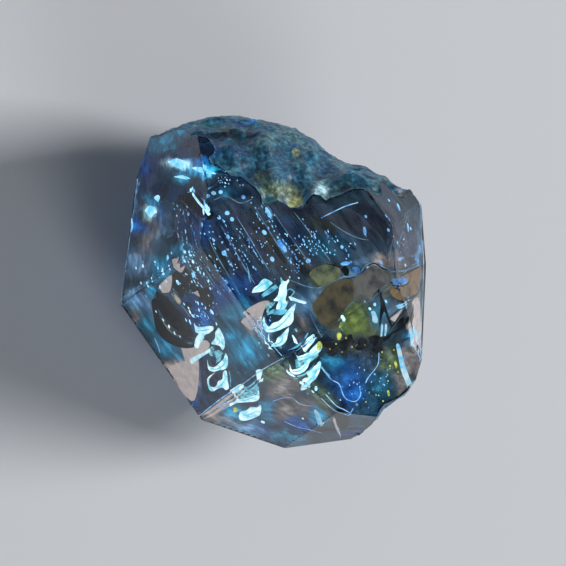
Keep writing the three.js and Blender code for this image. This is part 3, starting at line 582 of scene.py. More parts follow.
# Patches on the rough side and the broken tip, in the same terms: stains, painted highlights in the
# ICE and CYAN ones, and painted shade under the rough side's edge in the INK ones.
ROUGH_PATCHES = [
    (184, 130, 13, 7, 15, CYAN, 0.55, 0.9), (166, 142, 12, 7, 22, TEAL, 1.4, 0.8),
    (150, 150, 9, 6, 20, TEAL, 0.9, 0.8), (207, 122, 16, 6, 10, TEAL, 1.2, 0.8),
    (232, 119, 12, 4, 0, LILAC, 0.9, 0.7), (251, 121, 4, 3, 0, BLUE, 2.2, 0.9),
    (178, 151, 20, 4, 10, INK, 1, 0.95), (203, 141, 9, 5, 35, INK, 1, 0.95),
    (226, 136, 22, 6, 5, INK, 1, 0.95), (212, 146, 12, 6, 10, INK, 1, 0.95),
    (240, 124, 12, 4, 0, DEEP_BLUE, 1.2, 0.8), (312, 158, 12, 6, -20, TEAL, 1.4, 0.7),
    (305, 180, 14, 6, 0, TEAL, 0.9, 0.7), (270, 152, 14, 5, 10, SLATE, 1, 0.7),
    (366, 190, 14, 7, -30, SLATE, 1.0, 0.7), (250, 135, 6, 7, 0, INK, 1, 0.85),
    (192, 159, 10, 5, 10, BLUE, 1.1, 0.9), (212, 152, 12, 5, 10, BLUE, 0.9, 0.9),
    (179.7, 163.6, 8, 4, 0, ICE, 1.3, 1.0), (201, 170.3, 11, 4, -5, CYAN, 1.3, 0.95),
    (181, 178, 8, 3, 0, CYAN, 0.7, 0.8), (230, 160, 14, 10, 0, TEAL, 0.9, 0.6),
    (278, 190, 22, 9, 0, OLIVE, 1.6, 0.9), (262, 178, 12, 8, 20, OLIVE, 1.1, 0.7),
    (294, 203, 8, 11, 0, YELLOW, 1.7, 0.95), (295, 151, 3, 3, 0, YELLOW, 0.8, 0.9),
    (297, 168, 3, 4, 0, CYAN, 1.6, 0.9), (320.4, 189, 8, 8, 0, ICE, 1.6, 0.9),
    (330, 170, 14, 6, -20, DEEP_BLUE, 0.8, 0.7), (345, 187, 13, 6, -20, PLUM, 1, 0.7),
    (384, 196, 12, 9, -35, TEAL, 1.3, 0.7), (400.7, 190, 6, 3, -35, TAN, 1.3, 0.8),
    (352, 172, 16, 4, -25, TEAL, 1.3, 0.6), (238, 150, 8, 6, 0, BLUE, 0.5, 0.5),
    (218, 182, 14, 6, 20, DEEP_BLUE, 0.9, 0.8), (395, 364, 5, 5, 0, YELLOW, 0.5, 0.8),
    (388, 372, 14, 14, 0, OLIVE, 0.9, 0.7), (384, 402, 22, 10, 38, TEAL, 0.9, 0.7),
    (366, 383, 5, 4, 0, YELLOW, 0.4, 0.7), (366, 420, 16, 6, 30, TEAL, 0.8, 0.7),
    (411, 384, 3, 8, -15, ICE, 0.8, 0.9),
]


# Camera geometry, and the way the photograph looks into the crystal

def pixels(count):
    """The real length that some pixels of the photograph stand for."""
    return count / PIXELS_PER_MM * MM


def focus_point(x, y):
    """Where a pixel of the photograph lies at the height of the crystal's middle."""
    return Vector((pixels(x - ORIGIN_PIXEL[0]), pixels(ORIGIN_PIXEL[1] - y), MIDDLE_HEIGHT))


CAMERA_PLACE = focus_point(FRAME_PIXELS / 2, FRAME_PIXELS / 2) + Vector((0, 0, CAMERA_DISTANCE))


def photo_pixel(place):
    """The pixel of the photograph's frame at which a place outside the crystal appears."""
    spread = CAMERA_DISTANCE / (CAMERA_PLACE.z - place.z)
    across = (place.x - CAMERA_PLACE.x) * spread / MM * PIXELS_PER_MM
    along = (place.y - CAMERA_PLACE.y) * spread / MM * PIXELS_PER_MM
    return FRAME_PIXELS / 2 + across, FRAME_PIXELS / 2 - along


def refract(ray, normal):
    """The direction of a ray after it enters quartz through a face."""
    ratio = 1 / QUARTZ_IOR
    facing = -ray.dot(normal)
    bend = ratio * facing - math.sqrt(1 - ratio ** 2 * (1 - facing ** 2))
    return (ratio * ray + bend * normal).normalized()


class Crystal:
    """The crystal's outer skin, to find where a pixel of the photograph looks inside it."""

    def __init__(self, mesh):
        self.tree = BVHTree.FromBMesh(mesh)
        self.rough = {face.index for face in mesh.faces if face.material_index == 1}

    def enter(self, x, y):
        """The point where a pixel's ray enters, its direction inside and the face's number."""
        ray = (focus_point(x, y) - CAMERA_PLACE).normalized()
        place, normal, face, _ = self.tree.ray_cast(CAMERA_PLACE, ray)
        if place is None:
            return None
        return place, refract(ray, normal), face

    def seen(self, x, y, depth, target=None):
        """The point that a pixel shows at a depth inside the crystal, or on a target inside it."""
        entry = self.enter(x, y)
        if entry is None:
            return None
        place, ray, _ = entry
        if target is not None:
            hit = target.ray_cast(place, ray)
            if hit[0] is not None:
                return hit[0] - ray * FILM_GAP * MM
        return place + ray * depth


# Meshes

def finish_mesh(bm, name, materials, smooth=True):
    """A named object of a bmesh, riding on the crystal's one body."""
    mesh = bpy.data.meshes.new(name)
    bm.normal_update()
    bm.to_mesh(mesh)
    bm.free()
    for look in materials:
        mesh.materials.append(look)
    if smooth:
        mesh.shade_smooth()
    piece = bpy.data.objects.new(name, mesh)
    bpy.context.collection.objects.link(piece)
    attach(piece, "root")
    return piece


def node_bmesh(*nodes):
    """The solids of some nodes as one bmesh with shared corners."""
    bm = bmesh.new()
    for node in nodes:
        bm.from_mesh(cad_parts[node].data)
    bmesh.ops.remove_doubles(bm, verts=bm.verts, dist=WELD / 4)
    return bm


def largest_shell(bm):
    """Keeps only the shell with the most faces' area."""
    left = set(bm.faces)
    shells = []
    while left:
        start = left.pop()
        shell, front = {start}, [start]
        while front:
            for edge in front.pop().edges:
                for face in edge.link_faces:
                    if face in left:
                        left.remove(face)
                        shell.add(face)
                        front.append(face)
        shells.append(shell)
    largest = max(shells, key=lambda shell: sum(face.calc_area() for face in shell))
    others = [face for shell in shells if shell is not largest for face in shell]
    bmesh.ops.delete(bm, geom=others, context="FACES")


def relief(point, size, shift):
    """Smooth unevenness between about -1 and 1, with lumps of one size."""
    return noise.noise(point / size + Vector((shift, 2.3 * shift, -shift)))


def soften(bm, verts):
    """Draws corners towards their neighbours, twice."""
    for _ in range(2):
        bmesh.ops.smooth_vert(bm, verts=verts, factor=0.5, use_axis_x=True, use_axis_y=True, use_axis_z=True)


def quartz_skin():
    """The crystal's outside: the frame's halves joined again, flat faces whole, rough ones finer."""
    bm = node_bmesh("quartz_upper", "quartz_lower")
    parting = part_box("quartz_lower")[1][2]
    cut = [f for f in bm.faces if all(abs(v.co.z - parting) < WELD / 4 for v in f.verts)]
    bmesh.ops.delete(bm, geom=cut, context="FACES")
    largest_shell(bm)
    bmesh.ops.dissolve_limit(bm, angle_limit=COPLANAR, verts=bm.verts, edges=bm.edges)
    bm.normal_update()
    rough = [f for f in bm.faces if f.calc_area() < CRYSTAL_FACE_AREA]
    for face in rough:
        face.material_index = 1
    bmesh.ops.triangulate(bm, faces=rough)
    edges = {e for f in bm.faces if f.material_index == 1 for e in f.edges}
    bmesh.ops.subdivide_edges(bm, edges=list(edges), cuts=2, use_grid_fill=True)
    bm.normal_update()
    inner = [v for v in bm.verts if v.link_faces and all(f.material_index == 1 for f in v.link_faces)]
    soften(bm, inner)
    bm.normal_update()
    for vert in inner:
        rise = sum(height * relief(vert.co, size * MM, shift) for height, size, shift in ROUGH_LUMPS)
        vert.co += vert.normal * (rise - ROUGH_SINK) * MM
    bm.normal_update()
    # The painted stains also carry painted highlights and painted shade.
    stains_and_painted_light = bm.loops.layers.float_color.new("stains_and_painted_light")
    for face in bm.faces:
        face.smooth = face.material_index == 1
        if not face.smooth:
            continue
        for loop in face.loops:
            x, y = photo_pixel(loop.vert.co)
            tint = patch_tint(ROUGH_PATCHES, x, y, VEIL_SHADE_BASE, 0)
            facing = min(max(STAIN_AND_LIGHT_FADE * face.normal.z, 0), 1)
            loop[stains_and_painted_light] = (*tint[:3], tint[3] * facing)
    bm.faces.index_update()
    return bm


def detailed(node, cuts, bumps):
    """A node's solid, finer and with smaller unevenness: bumps are (height, size) in mm."""
    bm = node_bmesh(node)
    bmesh.ops.subdivide_edges(bm, edges=bm.edges, cuts=cuts, use_grid_fill=True)
    soften(bm, bm.verts)
    bm.normal_update()
    for vert in bm.verts:
        rise = sum(height * relief(vert.co, size * MM, 5 * size) for height, size in bumps)
        vert.co += vert.normal * rise * MM
    return bm


def add_bead(bm, centre, along, length, width):
    """A small ellipsoid along a direction."""
    turn = Vector((0, 0, 1)).rotation_difference(along)
    made = bmesh.ops.create_icosphere(bm, subdivisions=2, radius=1)
    for vert in made["verts"]:
        local = Vector((vert.co.x * width / 2, vert.co.y * width / 2, vert.co.z * length / 2))
        vert.co = centre + turn @ local


def smooth_line(points, parts):
    """A Catmull-Rom line through points, as tuples of any length, with parts steps between each two."""
    ends = [points[0], *points, points[-1]]
    line = []
    for index in range(len(points) - 1):
        before, start, stop, after = ends[index:index + 4]
        for step in range(parts):
            t = step / parts
            line.append(tuple(
                0.5 * (2 * b + (c - a) * t + (2 * a - 5 * b + 4 * c - d) * t ** 2
                       + (3 * b - a - 3 * c + d) * t ** 3)
                for a, b, c, d in zip(before, start, stop, after)
            ))
    line.append(tuple(points[-1]))
    return line


def add_pane(bm, crystal, outline, depth):
    """A thin pane inside a closed outline of pixels, at a depth under the faces."""
    line = smooth_line([outline[-1], *outline, outline[0]], 3)[3:-4]
    rim = [crystal.seen(x, y, depth) for x, y in line]
    rim = [place for place in rim if place is not None]
    if len(rim) < 6:
        return
    face = bm.faces.new([bm.verts.new(place) for place in rim])
    face.normal_update()
    if face.normal.z < 0:
        face.normal_flip()
    top = bmesh.ops.triangulate(bm, faces=[face])["faces"]
    below = bmesh.ops.extrude_face_region(bm, geom=top)["geom"]
    lowered = [part for part in below if isinstance(part, bmesh.types.BMVert)]
    bmesh.ops.translate(bm, verts=lowered, vec=(0, 0, -PANE_THICKNESS))


def add_ribbon(bm, crystal, line, depth, target=None, parts=6, flat=RIBBON_FLAT, sides=8):
    """A rounded ribbon along (x, y, width) pixels, at a depth in the crystal."""
    stops = [(crystal.seen(x, y, depth, target), w) for x, y, w in smooth_line(line, parts)]
    stops = [(place, width) for place, width in stops if place is not None]
    if len(stops) < 3:
        return
    rings = []
    for index, (place, width) in enumerate(stops):
        ahead = stops[min(index + 1, len(stops) - 1)][0] - stops[max(index - 1, 0)][0]
        side = ahead.cross(Vector((0, 0, 1))).normalized()
        up = side.cross(ahead).normalized()
        reach = pixels(max(width, LEAST_WIDTH)) / 2
        ring = []
        for corner in range(sides):
            turn = 2 * math.pi * corner / sides
            beside = place + side * reach * math.cos(turn)
            ring.append(bm.verts.new(beside + up * reach * flat * math.sin(turn)))
        rings.append(ring)
    for first, second in zip(rings, rings[1:]):
        for corner in range(sides):
            after = (corner + 1) % sides
            bm.faces.new((first[corner], first[after], second[after], second[corner]))
    bm.faces.new(rings[0][::-1])
    bm.faces.new(rings[-1])


# Materials

def new_material(name):
    """An empty material, with its nodes, its links and its output."""
    look = bpy.data.materials.new(name)
    look.use_nodes = True
    nodes = look.node_tree.nodes
    nodes.clear()
    return look, nodes, look.node_tree.links, nodes.new("ShaderNodeOutputMaterial")


def add_node(nodes, kind, **inputs):
    """A node of a kind, with some of its inputs set by name."""
    node = nodes.new(kind)
    for name, value in inputs.items():
        node.inputs[name.replace("_", " ")].default_value = value
    return node


def object_noise(nodes, links, scale, detail, stretch=(1, 1, 1)):
    """Noise over the object's own space: scale is lumps per mm, stretched along the crystal's c axis."""
    place = nodes.new("ShaderNodeTexCoord")
    mapping = nodes.new("ShaderNodeMapping")
    mapping.vector_type = "TEXTURE"
    mapping.inputs["Rotation"].default_value = (0, 0, C_AXIS_TURN)
    mapping.inputs["Scale"].default_value = [MM * share for share in stretch]
    texture = add_node(nodes, "ShaderNodeTexNoise", Scale=scale, Detail=detail, Roughness=0.6)
    links.new(place.outputs["Object"], mapping.inputs["Vector"])
    links.new(mapping.outputs["Vector"], texture.inputs["Vector"])
    return texture.outputs["Fac"]


def ramp(nodes, links, source, stops):
    """A colour ramp fed by a value: stops are (place, colour)."""
    node = nodes.new("ShaderNodeValToRGB")
    elements = node.color_ramp.elements
    while len(elements) < len(stops):
        elements.new(0.5)
    for element, (place, colour) in zip(elements, stops):
        element.position = place
        element.color = (*colour, 1)
    links.new(source, node.inputs["Fac"])
    return node.outputs["Color"]


def mixed(nodes, links, first, second, share, blend="MIX"):
    """One colour mixed with or multiplied by another: the share is a number or comes from a node."""
    mix = nodes.new("ShaderNodeMix")
    mix.data_type = "RGBA"
    mix.blend_type = blend
    if isinstance(share, float):
        mix.inputs["Factor"].default_value = share
    else:
        links.new(share, mix.inputs["Factor"])
    links.new(first, mix.inputs["A"])
    links.new(second, mix.inputs["B"])
    return mix.outputs["Result"]


def painted(nodes, layer):
    """The colour and cover painted on a mesh's corners."""
    node = nodes.new("ShaderNodeVertexColor")
    node.layer_name = layer
    return node


def tinted(links, shader, tint):
    """Feeds one colour to a shader's own colour and to its glow."""
    links.new(tint, shader.inputs["Base Color"])
    links.new(tint, shader.inputs["Emission Color"])


def bumped(nodes, links, shader, height, strength, distance):
    """Small unevenness of a surface, from a height."""
    bump = add_node(nodes, "ShaderNodeBump", Strength=strength, Distance=distance)
    links.new(height, bump.inputs["Height"])
    links.new(bump.outputs["Normal"], shader.inputs["Normal"])


def quartz_volume(nodes, links, output):
    """Light lost inside the crystal: a cool blue that keeps 8 mm of it see-through but dim."""
    volume = nodes.new("ShaderNodeVolumeAbsorption")
    volume.inputs["Color"].default_value = QUARTZ_TINT
    volume.inputs["Density"].default_value = QUARTZ_DENSITY
    links.new(volume.outputs["Volume"], output.inputs["Volume"])


def clear_quartz():
    """Clear quartz, see-through by transmission, its index of refraction and absorption."""
    look, nodes, links, output = new_material("clear_quartz")
    shader = add_node(nodes, "ShaderNodeBsdfPrincipled", Base_Color=(0.93, 0.97, 1.0, 1), Roughness=0.02,
                      IOR=QUARTZ_IOR, Transmission_Weight=1.0)
    grain = object_noise(nodes, links, 3.0, 3, (3, 1, 1))
    bumped(nodes, links, shader, grain, 0.04, 0.02 * MM)
    links.new(shader.outputs["BSDF"], output.inputs["Surface"])
    quartz_volume(nodes, links, output)
    return look


def rock_contact():
    """The frosted, stained surface where the crystal grew against rock, and its broken tip, with painted
    highlights and painted shade among the stains and a weak painted glow.
    """
    look, nodes, links, output = new_material("rock_contact")
    grain = object_noise(nodes, links, 6.5, 5)
    shade = ramp(nodes, links, grain, [(0.36, (0.04, 0.05, 0.07)), (0.5, (0.35, 0.38, 0.42)),
                                       (0.60, (1.0, 1.0, 1.0)), (0.7, (1.9, 1.9, 1.7))])
    drift = object_noise(nodes, links, 1.1, 4)
    hue = ramp(nodes, links, drift, [(0.34, (0.008, 0.07, 0.17)), (0.50, (0.03, 0.17, 0.28)),
                                     (0.62, (0.08, 0.23, 0.27))])
    stains_and_painted_light = painted(nodes, "stains_and_painted_light")
    patched_colour = mixed(nodes, links, hue, stains_and_painted_light.outputs["Color"], stains_and_painted_light.outputs["Alpha"])
    grained = mixed(nodes, links, patched_colour, shade, 0.8, "MULTIPLY")
    shader = add_node(nodes, "ShaderNodeBsdfPrincipled", Roughness=0.42, IOR=QUARTZ_IOR,
                      Transmission_Weight=0.35, Emission_Strength=0.4)
    tinted(links, shader, grained)
    bumped(nodes, links, shader, grain, 0.5, 0.05 * MM)
    links.new(shader.outputs["BSDF"], output.inputs["Surface"])
    quartz_volume(nodes, links, output)
    return look


def glowing(name, colour, glow, tone, roughness=0.3, scale=3.5):
    """Oil with a painted glow, strong or weak, with a glossy skin and uneven colour."""
    look, nodes, links, output = new_material(name)
    shader = add_node(nodes, "ShaderNodeBsdfPrincipled", Roughness=roughness)
    light = object_noise(nodes, links, scale, 4)
    dim = tuple((low + high) / 2 for low, high in zip(tone, colour))
    tinted(links, shader, ramp(nodes, links, light, [(0.32, tone), (0.46, dim), (0.58, colour)]))
    shader.inputs["Emission Strength"].default_value = glow
    links.new(shader.outputs["BSDF"], output.inputs["Surface"])
    return look


def dark_stuff(name, low, high, roughness, scale, stretch, glow=0.0):
    """Dark oil or bitumen with streaks, a glossy skin and fine wrinkles."""
    look, nodes, links, output = new_material(name)
    shader = add_node(nodes, "ShaderNodeBsdfPrincipled", Roughness=roughness)
    streaks = object_noise(nodes, links, scale, 5, stretch)
    tinted(links, shader, ramp(nodes, links, streaks, [(0.38, low), (0.66, high)]))
    # The glow is painted light.
    shader.inputs["Emission Strength"].default_value = glow
    bumped(nodes, links, shader, streaks, 0.5, 0.05 * MM)
    links.new(shader.outputs["BSDF"], output.inputs["Surface"])
    return look


def veil_and_painted_light_look():
    """A thin healed fracture with a painted glow: its colour and cover, with painted highlights and painted
    shade, are painted on its corners as soft patches.
    """
    look, nodes, links, output = new_material("veil_with_painted_light")
    tint = painted(nodes, "tint")
    streaks = object_noise(nodes, links, 4.2, 6, (2.5, 1, 1))
    mottle = ramp(nodes, links, streaks, [(0.36, (0.28, 0.32, 0.38)), (0.5, (0.85, 0.88, 0.9)),
                                          (0.64, (1.7, 1.7, 1.6))])
    shader = add_node(nodes, "ShaderNodeBsdfPrincipled", Roughness=0.5, Emission_Strength=1.15)
    tinted(links, shader, mixed(nodes, links, tint.outputs["Color"], mottle, 0.85, "MULTIPLY"))
    wisps = object_noise(nodes, links, 1.8, 6, (2, 1, 1))
    spread = nodes.new("ShaderNodeMapRange")
    spread.inputs["From Min"].default_value = 0.18
    spread.inputs["From Max"].default_value = 0.42
    links.new(wisps, spread.inputs["Value"])
    cover = nodes.new("ShaderNodeMath")
    cover.operation = "MULTIPLY"
    links.new(tint.outputs["Alpha"], cover.inputs[0])
    links.new(spread.outputs["Result"], cover.inputs[1])
    clear = nodes.new("ShaderNodeBsdfTransparent")
    mix = nodes.new("ShaderNodeMixShader")
    links.new(cover.outputs["Value"], mix.inputs["Fac"])
    links.new(clear.outputs["BSDF"], mix.inputs[1])
    links.new(shader.outputs["BSDF"], mix.inputs[2])
    links.new(mix.outputs["Shader"], output.inputs["Surface"])
    return look


# Pieces

def make_quartz():
    """The one clear crystal, in place of the frame's two halves."""
    bm = quartz_skin()
    crystal = Crystal(bm)
    piece = finish_mesh(bm, "quartz", [clear_quartz(), rock_contact()], smooth=False)
    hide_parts("quartz_upper", "quartz_lower")
    return crystal


def make_inclusion(node, name, look, cuts, bumps):
    """A sealed oil or bitumen solid of the frame, with finer relief."""
    bm = detailed(node, cuts, bumps)
    bm.normal_update()
    tree = BVHTree.FromBMesh(bm)
    piece = finish_mesh(bm, name, [look])
    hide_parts(node)
    return tree


def pixel_direction(crystal, x, y, slant, depth, target=None):
    """The direction inside the crystal that a slant in the photograph stands for."""
    turn = math.radians(slant)
    here = crystal.seen(x, y, depth, target)
    there = crystal.seen(x + math.cos(turn), y + math.sin(turn), depth, target)
    if here is None or there is None or (there - here).length > LONGEST_STEP:
        return Vector(DEFAULT_LEAN)
    return (there - here).normalized()


def add_beads(bm, crystal, beads, depth, target=None):
    """Beads at pixels, with their length, width and slant in the photograph."""
    for x, y, length, width, slant in beads:
        place = crystal.seen(x, y, depth, target)
        along = pixel_direction(crystal, x, y, slant, depth, target)
        add_bead(bm, place, along, pixels(length), pixels(width))


def make_ribbons(crystal, name, lines, depth, look):
    """Rounded ribbons along lines of pixels and widths, at a depth under the faces."""
    bm = bmesh.new()
    for line in lines:
        add_ribbon(bm, crystal, line, depth)
    finish_mesh(bm, name, [look])


def make_panes(crystal, name, outlines, depth, look):
    """Thin flat panes inside outlines of pixels, at a depth under the faces."""
    bm = bmesh.new()
    for outline in outlines:
        add_pane(bm, crystal, outline, depth)
    bm.verts.sort(key=lambda vert: vert.co.dot(SORT_AXIS))
    bm.faces.sort(key=lambda face: face.calc_center_median().dot(SORT_AXIS))
    finish_mesh(bm, name, [look], smooth=False)


def make_fingers(crystal, film):
    """Dark fingers of oil on the dark film."""
    bm = bmesh.new()
    for line in FILM_FINGERS:
        add_ribbon(bm, crystal, line, FINGER_DEPTH, film, flat=FINGER_FLAT)
    look = glowing("finger_tone", (0.035, 0.024, 0.024), 0.5, (0.004, 0.004, 0.008))
    finish_mesh(bm, "oil_fingers", [look])


def row_beads(rng):
    """Drawn-out beads along the rows, all leaning the way the crystal grew."""
    for first, last, count in BEAD_ROWS:
        for index in range(count):
            share = index / max(count - 1, 1)
            x = first[0] + (last[0] - first[0]) * share + rng.uniform(-ROW_STRAY, ROW_STRAY)
            y = first[1] + (last[1] - first[1]) * share + rng.uniform(-ROW_STRAY, ROW_STRAY)
            length = rng.choice(ROW_LENGTHS)
            yield x, y, length, rng.uniform(*ROW_WIDTHS), STREAK_SLANT


def make_beads(crystal, film):
    """The rows of oil beads on the dark film, and larger beads over it."""
    bm = bmesh.new()
    add_beads(bm, crystal, row_beads(random.Random(11)), ROW_DEPTH, film)
    add_beads(bm, crystal, LARGE_BEADS, FINGER_DEPTH, film)
    finish_mesh(bm, "oil_beads", [glowing("bead_glow", ICE, 3.6, (0.03, 0.28, 0.70))])


def make_plate_beads(crystal):
    """Beads close under the faces, and the bright tube in the void."""
    bm = bmesh.new()
    add_beads(bm, crystal, PLATE_BEADS, BEAD_DEPTH)
    add_ribbon(bm, crystal, [(x, y, TUBE_WIDTH) for x, y in VOID_TUBE], SPARK_DEPTH, flat=TUBE_FLAT)
    finish_mesh(bm, "plate_beads", [glowing("plate_bead_glow", ICE, 1.4, (0.05, 0.3, 0.7))])


def make_glints(crystal):
    """Tiny glints strewn over the film, the flake and the lower right."""
    rng = random.Random(23)
    bm = bmesh.new()
    for x, y, along, across, area_slant, count in GLINTS:
        turn = math.radians(-area_slant)
        for _ in range(count):
            u = rng.gauss(0, GLINT_SPREAD) * along
            v = rng.gauss(0, GLINT_SPREAD) * across
            px = x + u * math.cos(turn) - v * math.sin(turn)
            py = y + u * math.sin(turn) + v * math.cos(turn)
            place = crystal.seen(px, py, BEAD_DEPTH)
            if place is None or crystal.enter(px, py)[2] in crystal.rough:
                continue
            slant = STREAK_SLANT + rng.uniform(-GLINT_LEAN, GLINT_LEAN)
            lean = pixel_direction(crystal, px, py, slant, BEAD_DEPTH)
            size = pixels(rng.uniform(*GLINT_SIZES))
            add_bead(bm, place, lean, size * rng.uniform(*GLINT_STRETCH), size)
    look = glowing("glint_glow", (0.45, 0.80, 1.0), 1.2, (0.02, 0.15, 0.5))
    finish_mesh(bm, "oil_glints", [look])


def speck_beads(specks):
    """Specks of a pixel and a size, as beads."""
    return [(x, y, size, SPECK_WIDTH * size, SPECK_SLANT) for x, y, size in specks]


def make_sparks(crystal):
    """Yellow-green sparks close under the faces."""
    bm = bmesh.new()
    add_beads(bm, crystal, speck_beads(YELLOW_SPECKS), SPARK_DEPTH)
    finish_mesh(bm, "yellow_sparks", [glowing("spark_glow", (0.75, 0.78, 0.15), 0.9, MOSS)])


def make_cracks(crystal):
    """Fine bright cracks, and specks deeper inside."""
    bm = bmesh.new()
    for line in CRACKS:
        add_ribbon(bm, crystal, [(x, y, CRACK_WIDTH) for x, y in line], CRACK_DEPTH)
    add_beads(bm, crystal, speck_beads(SPECKS), SPECK_DEPTH)
    finish_mesh(bm, "healed_cracks", [glowing("crack_glow", (0.45, 0.75, 1.0), 0.9, BLUE)])


def patch_tint(patches, x, y, base, base_cover):
    """A colour and cover at a pixel, from the soft patches around it and a base."""
    total, cover, cleared = BASE_WEIGHT, base_cover, 1.0
    wide = noise.noise_vector(Vector((x, y, 0)) / WIDE_DRIFT[0]) * WIDE_DRIFT[1]
    fine = noise.noise_vector(Vector((x, y, 9)) / FINE_DRIFT[0]) * FINE_DRIFT[1]
    drift = wide + fine
    x, y = x + drift.x, y + drift.y
    colour = Vector(base) * total
    for px, py, along, across, slant, tint, glow, strength in patches:
        turn = math.radians(-slant)
        dx, dy = x - px, y - py
        u = (dx * math.cos(turn) + dy * math.sin(turn)) / along
        v = (dy * math.cos(turn) - dx * math.sin(turn)) / across
        weight = math.exp(-(u * u + v * v) ** EDGE_POWER)
        if weight < LEAST_WEIGHT:
            continue
        if strength < 0:
            cleared *= 1 + strength * weight
            continue
        total += weight
        colour += Vector(tint) * glow * weight
        cover = max(cover, strength * weight)
    return (*(colour / total), cover * cleared)


def make_veils(crystal):
    """Thin veils a little under the flat faces, as healed growth layers, with patches of colour, painted
    highlights and painted shade.
    """
    bm = bmesh.new()
    tints = bm.loops.layers.float_color.new("tint")
    corners = {}
    for x in VEIL_COLUMNS:
        for y in VEIL_ROWS:
            entry = crystal.enter(x, y)
            if entry is None or entry[2] in crystal.rough:
                continue
            place, ray, face = entry
            wave = 1 + VEIL_WAVE * relief(place, VEIL_WAVE_SIZE, 1.3)
            corners[x, y] = (bm.verts.new(place + ray * VEIL_DEPTH * wave), face,
                             patch_tint(PATCHES, x, y, VEIL_SHADE_BASE, VEIL_COVER))
    for x in VEIL_COLUMNS:
        for y in VEIL_ROWS:
            square = (x, y), (x, y + VEIL_STEP), (x + VEIL_STEP, y + VEIL_STEP), (x + VEIL_STEP, y)
            around = [corners.get(corner) for corner in square]
            if None in around or len({face for _, face, _ in around}) > 1:
                continue
            made = bm.faces.new([vert for vert, _, _ in around])
            for loop, (_, _, tint) in zip(made.loops, around):
                loop[tints] = tint
    loose = [v for v in bm.verts if not v.link_faces]
    bmesh.ops.delete(bm, geom=loose, context="VERTS")
    finish_mesh(bm, "veils_with_painted_light", [veil_and_painted_light_look()])


def make_floor():
    """The plain pale floor that the crystal rests on."""
    bm = bmesh.new()
    bmesh.ops.create_grid(bm, x_segments=8, y_segments=8, size=FLOOR_SIZE)
    mesh = bpy.data.meshes.new("floor")
    bm.to_mesh(mesh)
    bm.free()
    look, nodes, links, output = new_material("pale_floor")
    shader = add_node(nodes, "ShaderNodeBsdfPrincipled", Base_Color=FLOOR_TONE, Roughness=0.8)
    links.new(shader.outputs["BSDF"], output.inputs["Surface"])
    mesh.materials.append(look)
    floor = bpy.data.objects.new("floor", mesh)
    bpy.context.collection.objects.link(floor)


def add_softbox(name, place, size, power, colour):
    """A square soft light that points at the crystal's middle."""
    light = bpy.data.lights.new(name, "AREA")
    light.shape = "SQUARE"
    light.size = size
    light.energy = power
    light.color = colour
    lamp = bpy.data.objects.new(name, light)
    lamp.location = place
    aim = Vector((0, 0, MIDDLE_HEIGHT)) - Vector(place)
    lamp.rotation_euler = aim.to_track_quat("-Z", "Y").to_euler()
    bpy.context.collection.objects.link(lamp)


def make_studio():
    """Dim even light all round, a key light from the right and a weak fill from the front."""
    world = bpy.data.worlds.new("studio")
    bpy.context.scene.world = world
    world.use_nodes = True
    back = world.node_tree.nodes["Background"]
    back.inputs["Color"].default_value = WORLD_TONE
    back.inputs["Strength"].default_value = WORLD_STRENGTH
    add_softbox("key", *KEY_LIGHT)
    add_softbox("fill", *FILL_LIGHT)
    bpy.context.scene.view_settings.view_transform = "Standard"


def make_camera():
    """The camera straight above, with the photograph's frame at the height of the crystal's middle."""
    lens = bpy.data.cameras.new("camera")
    lens.sensor_width = SENSOR
    lens.lens = SENSOR * CAMERA_DISTANCE / pixels(FRAME_PIXELS)
    lens.clip_start = 0.01
    camera = bpy.data.objects.new("camera", lens)
    camera.location = CAMERA_PLACE
    bpy.context.collection.objects.link(camera)
    bpy.context.scene.camera = camera


def make_inclusions(bitumen):
    """The frame's sealed solids: oil, the droplet and bitumen. Gives the dark film's surface."""
    film_oil = dark_stuff("film_oil", (0.004, 0.008, 0.018), (0.22, 0.16, 0.16), 0.25, 2.6, (5, 1, 1), 0.8)
    pocket_oil = dark_stuff("pocket_oil", (0.08, 0.07, 0.05), (0.30, 0.24, 0.16), 0.2, 0.7, (1, 1, 1), 0.8)
    droplet = glowing("droplet_glow", (0.13, 0.17, 0.035), 1.0, MOSS, 0.15)
    film = make_inclusion("oil_film", "dark_film", film_oil, 2, [(0.05, 0.5), (0.02, 0.2)])
    make_inclusion("oil_pocket", "brown_oil", pocket_oil, 2, [(0.05, 0.6), (0.02, 0.2)])
    make_inclusion("oil_droplet", "yellow_droplet", droplet, 3, [(0.06, 0.4), (0.03, 0.15)])
    make_inclusion("bitumen_rim", "bitumen_clumps", bitumen, 3, [(0.12, 0.35), (0.06, 0.15)])
    make_inclusion("bitumen_blade", "bitumen_crescent", bitumen, 3, [(0.03, 0.3), (0.015, 0.1)])
    make_inclusion("bitumen_flake", "layered_flake", bitumen, 3, [(0.09, 0.4), (0.05, 0.18)])
    return film


def make_bitumen_films(crystal, bitumen):
    """Black plates and threads close under the faces, with beads and thin streaks of oil on them."""
    make_panes(crystal, "bitumen_plates", BLACK_PLATES, PLATE_DEPTH, bitumen)
    make_ribbons(crystal, "bitumen_threads", BLACK_LINES, THREAD_DEPTH, bitumen)
    make_plate_beads(crystal)
    streak = glowing("streak_glow", (0.30, 0.27, 0.17), 1.1, UMBER)
    make_ribbons(crystal, "plate_streaks", PLATE_STREAKS, STREAK_DEPTH, streak)


